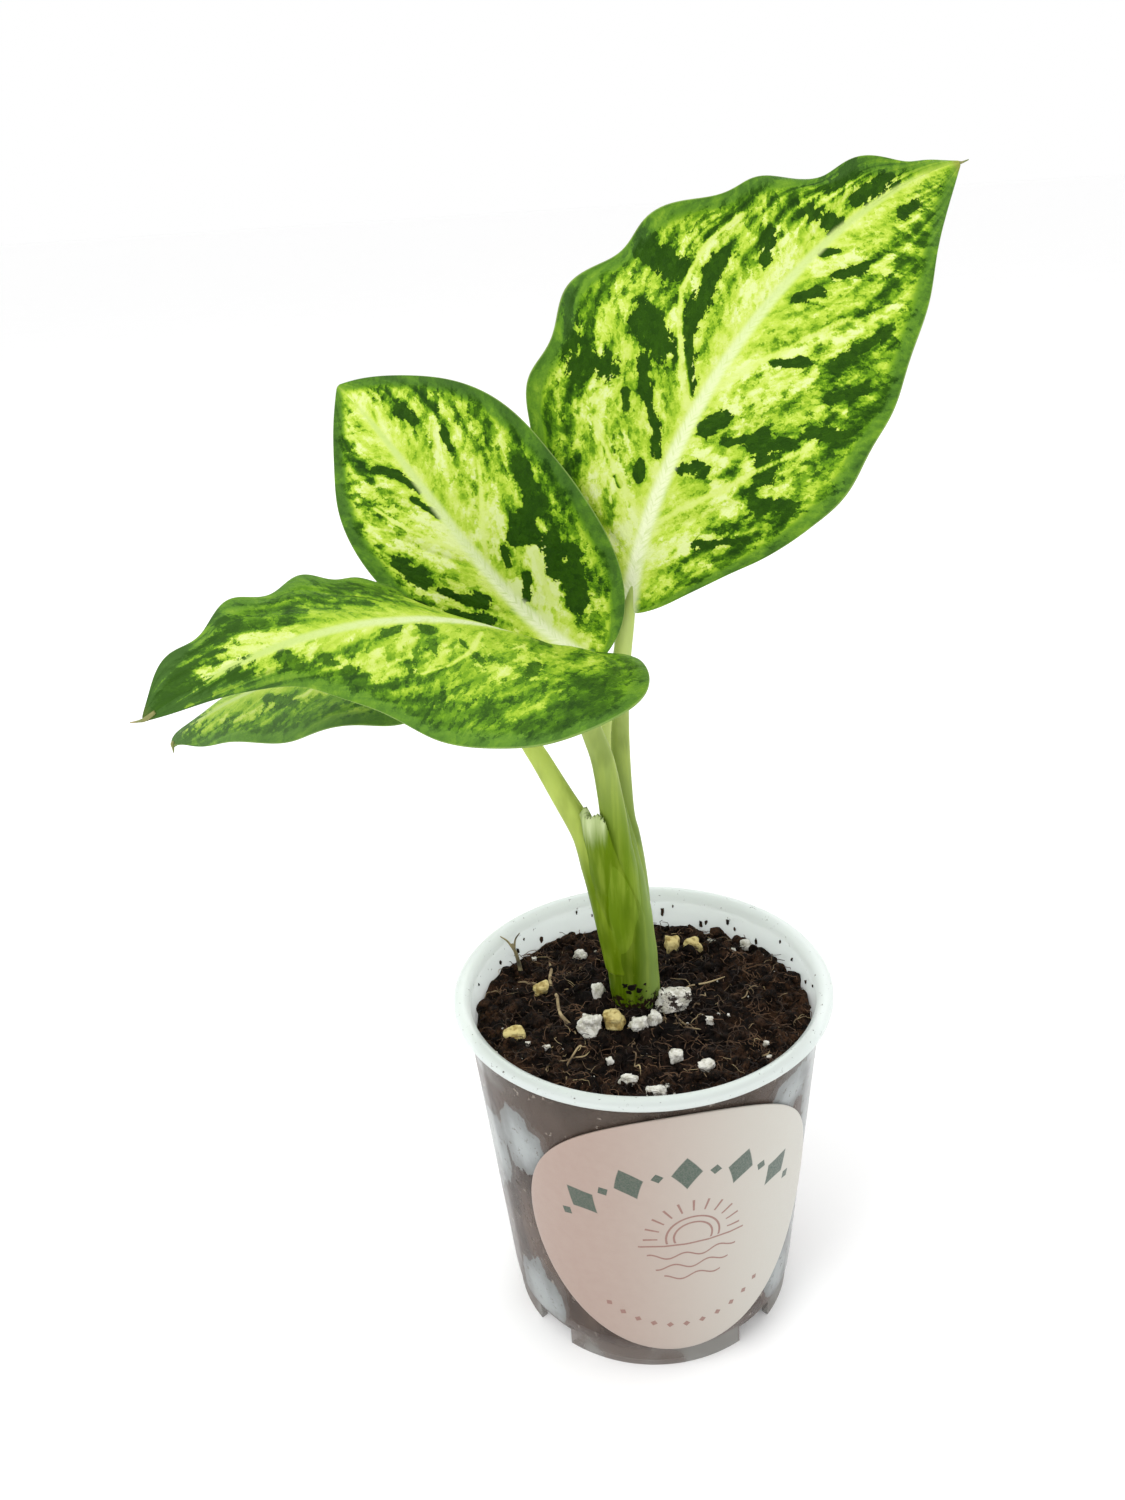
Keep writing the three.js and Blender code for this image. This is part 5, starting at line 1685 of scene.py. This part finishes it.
# %% [markdown]
# ## Granules
# Perlite is expanded volcanic glass: white, light and pitted like popcorn. The tan grit is
# smoother. Each granule is a fine ball, broken by noise at two sizes and squeezed to the size
# that was measured for it.

# %% Granule shapes
PERLITE = [  # x, y, z, width, depth, height
    [5.2, -1.0, 56.6, 5.8, 5.0, 4.4], [-8.7, -6.0, 55.6, 4.0, 3.6, 3.8], [-0.7, -5.9, 55.4, 3.4, 2.8, 2.4],
    [1.9, -4.9, 55.6, 2.2, 2.4, 2.8], [-7.2, 2.2, 56.0, 2.2, 2.4, 3.6], [-10.8, 17.0, 54.0, 2.8, 2.0, 1.8],
    [18.8, 18.4, 54.0, 3.0, 2.4, 2.0], [5.0, -13.4, 54.6, 2.6, 2.4, 2.2], [9.5, -15.8, 54.4, 2.8, 2.0, 2.0],
    [-2.6, -18.4, 54.2, 3.2, 2.2, 2.0], [1.4, -21.2, 54.0, 3.6, 2.2, 2.0],
]
GRIT = [
    [-4.8, -4.9, 55.6, 3.8, 3.2, 3.0], [-17.2, 6.2, 54.4, 2.8, 2.6, 2.2],
    [-21.0, -6.3, 54.0, 3.2, 3.0, 2.8], [5.8, 19.4, 54.0, 3.2, 3.0, 3.4],
    [9.4, 18.4, 54.0, 3.0, 2.8, 3.0],
]


def granule(name, size, seed, coarse, fine, levels=5):
    """A broken ball; size is x, y, z, width, depth and height."""
    shape = bmesh.new()
    bmesh.ops.create_icosphere(shape, subdivisions=levels, radius=1.0)
    half = Vector(size[3:]) / 2
    for vertex in shape.verts:
        way = vertex.co.normalized()
        spot = way * 1.1 + Vector((seed * 7.3, seed * 1.9, 0))
        push = 0.9 + coarse * noise.noise(spot) - fine * abs(noise.fractal(spot * 3.1, 0.9, 2.1, 3))
        boxy = [math.copysign(abs(way[k]) ** 0.72, way[k]) for k in range(3)]
        vertex.co = Vector([boxy[k] * push * half[k] + size[k] for k in range(3)]) * MM
    mesh = bpy.data.meshes.new(name)
    shape.to_mesh(mesh)
    shape.free()
    mesh.shade_smooth()
    return stand(name, mesh)


def make_granule_material(name, light, shade, soiled):
    made, tree, place, shader = new_material(name)
    pits = grain_at(tree, place, 900.0)
    base = mixed(tree, soft_step(tree, pits["Broad"], 0.35, 0.6), shade, light)
    smear = dirt_at(tree, place, 620.0, soiled)
    base = mixed(tree, smear, base, color(48, 36, 28))
    dress(tree, shader, base, 0.85, pits["Fine"], 0.25)
    return made


PERLITE_SHADE = color(196, 192, 178)
perlite_look = make_granule_material("perlite", color(242, 240, 232), PERLITE_SHADE, 0.04)
soiled_perlite_look = make_granule_material("soiled_perlite", color(240, 238, 230), PERLITE_SHADE, 0.28)
grit_look = make_granule_material("grit", color(226, 208, 142), color(170, 146, 82), 0.04)
for i, size in enumerate(PERLITE, 1):
    look = soiled_perlite_look if i == 1 else perlite_look
    finish_piece(granule(f"white_granule_{i}", size, i, 0.5, 0.3), look, "perlite", f"perlite_{i}")
for i, size in enumerate(GRIT, 1):
    finish_piece(granule(f"tan_granule_{i}", size, i + 20, 0.5, 0.12), grit_look, "grit", f"grit_{i}")
print("granules:", len(PERLITE) + len(GRIT))

# %% Small bits
SMALL_BITS = [  # x, y and width of white bits on the soil
    (13.0, 20.4, 1.6), (14.8, 18.3, 1.2), (16.5, 17.4, 1.4), (22.6, 10.2, 1.3), (10.7, -4.4, 1.7),
    (-15.7, -9.3, 1.3), (-18.6, -8.4, 1.0), (-19.5, -2.8, 0.9), (-5.4, -13.8, 1.5), (-8.3, -17.6, 1.2),
    (19.3, -10.0, 1.2), (19.4, -13.3, 1.0), (-20.0, 14.6, 1.2), (-19.0, 16.0, 1.0), (-7.8, 5.0, 1.6),
    (3.4, -20.0, 1.0), (5.6, -20.4, 0.9), (14.0, -2.0, 0.7), (-12.5, -4.6, 0.8), (21.5, 4.0, 0.9),
    (-3.0, 17.5, 0.9), (0.0, -12.5, 0.7),
]
WALL_CRUMBS = [  # degrees from the front to the right, z and width of crumbs that cling inside the wall
    (-156, 57.5, 0.8), (-162, 56.2, 0.6), (171, 56.0, 1.6), (167, 57.2, 0.7), (156, 54.4, 1.3),
    (154, 54.9, 1.0), (145, 56.1, 1.2), (142, 55.2, 0.9), (120, 57.4, 0.7), (112, 56.0, 0.8),
    (-128, 55.0, 1.2), (-132, 56.4, 0.7), (-118, 55.4, 1.0), (100, 55.2, 0.8), (-140, 54.6, 1.4),
    (132, 54.6, 1.1), (-100, 56.5, 0.6), (92, 57.0, 0.6),
]
STEM_CRUMBS = [  # x, y, z, width, depth and height of crumbs that cling to the stem
    (-2.7, -1.8, 60.1, 1.1, 0.5, 0.8), (-1.6, -2.1, 59.9, 1.5, 0.5, 1.1), (-0.4, -2.0, 59.2, 1.0, 0.5, 0.9),
    (-2.0, -1.9, 58.8, 1.2, 0.5, 1.0), (0.5, -1.7, 60.2, 0.5, 0.4, 0.4), (-4.7, -0.2, 63.0, 0.4, 0.4, 0.5),
]


def bits(name, places, coarse, fine):
    """Many small granules as one mesh: each is x, y, z, width, depth and height."""
    made = [granule(f"{name}_{i}", size, i + 50, coarse, fine, 3) for i, size in enumerate(places)]
    parts = []
    for piece in made:
        co = np.array([vertex.co for vertex in piece.data.vertices]) / MM
        parts.append((co, [list(face.vertices) for face in piece.data.polygons]))
        bpy.data.objects.remove(piece)
    return mesh_object(name, *joined(parts))


places = [(x, y, soil_top(x, y) + 0.45 * wide, wide, 0.8 * wide, 0.8 * wide) for x, y, wide in SMALL_BITS]
finish_piece(bits("small_white_bits", places, 0.5, 0.3), perlite_look, "perlite")
places = []
for degrees, z, wide in WALL_CRUMBS:
    away, turn = inner_radius(z) - 0.12 * wide, math.radians(degrees)
    places.append((away * math.sin(turn), -away * math.cos(turn), z, 0.5 * wide, 0.5 * wide, wide))
finish_piece(bits("wall_crumbs", places + STEM_CRUMBS, 0.7, 0.4), soil_look, "soil")
speck_tree = make_scatter("white_specks", perlite_look)
scatter("white_specks", soil, speck_tree, "perlite", Density=22000.0, Smallest=0.1 * MM, Largest=0.3 * MM,
        Break=0.4 * MM, Seed=14)

# %% [markdown]
# ## Floor and light
# The pot stands on a plain pale floor under an even white sky, as on a light table. A large
# soft key from the upper left, a weaker fill from the right and one lamp behind, which
# brightens the leaf edges, give the shapes their shading.

# %% Floor
FLOOR_REACH = (0.001, 0.4, 2.0, 30.0)  # metres


def make_floor():
    turn = np.arange(96) / 96 * 2 * np.pi
    reach = np.array(FLOOR_REACH)[:, None] / MM
    rings = np.stack([reach * np.cos(turn), reach * np.sin(turn), 0 * reach * turn], -1)
    points = np.vstack([rings.reshape(-1, 3), [[0, 0, 0]]])
    faces = [list(face)[::-1] for face in grid_faces(len(reach), len(turn), around=True)]
    faces += [[j, (j + 1) % len(turn), len(points) - 1] for j in range(len(turn))]
    floor = mesh_object("floor", points, faces)
    made, tree, place, shader = new_material("floor")
    flow = grain_at(tree, place, 14.0)
    base = mixed(tree, flow["Broad"], color(253, 253, 253), color(255, 255, 255))
    dress(tree, shader, base, 0.8, shine=0.2)
    floor.data.materials.append(made)
    return floor


floor = make_floor()


# %% Lights
def add_light(name, place, size, power):
    lamp = bpy.data.lights.new(name, "AREA")
    lamp.shape = "DISK"
    lamp.size = size
    lamp.energy = power
    made = stand(name, lamp)
    made.location = place
    made.rotation_euler = (Vector((0, 0, 0.09)) - Vector(place)).to_track_quat("-Z", "Y").to_euler()


add_light("key", (-0.5, -0.45, 0.9), 0.6, 4.5)
add_light("fill", (0.8, -0.4, 0.5), 0.8, 1.2)
add_light("back", (0.15, 0.8, 0.7), 0.8, 2.0)
world = bpy.data.worlds.new("studio")
world.use_nodes = True
world.node_tree.nodes["Background"].inputs["Color"].default_value = (1, 1, 1, 1)
world.node_tree.nodes["Background"].inputs["Strength"].default_value = 1.0
bpy.context.scene.world = world
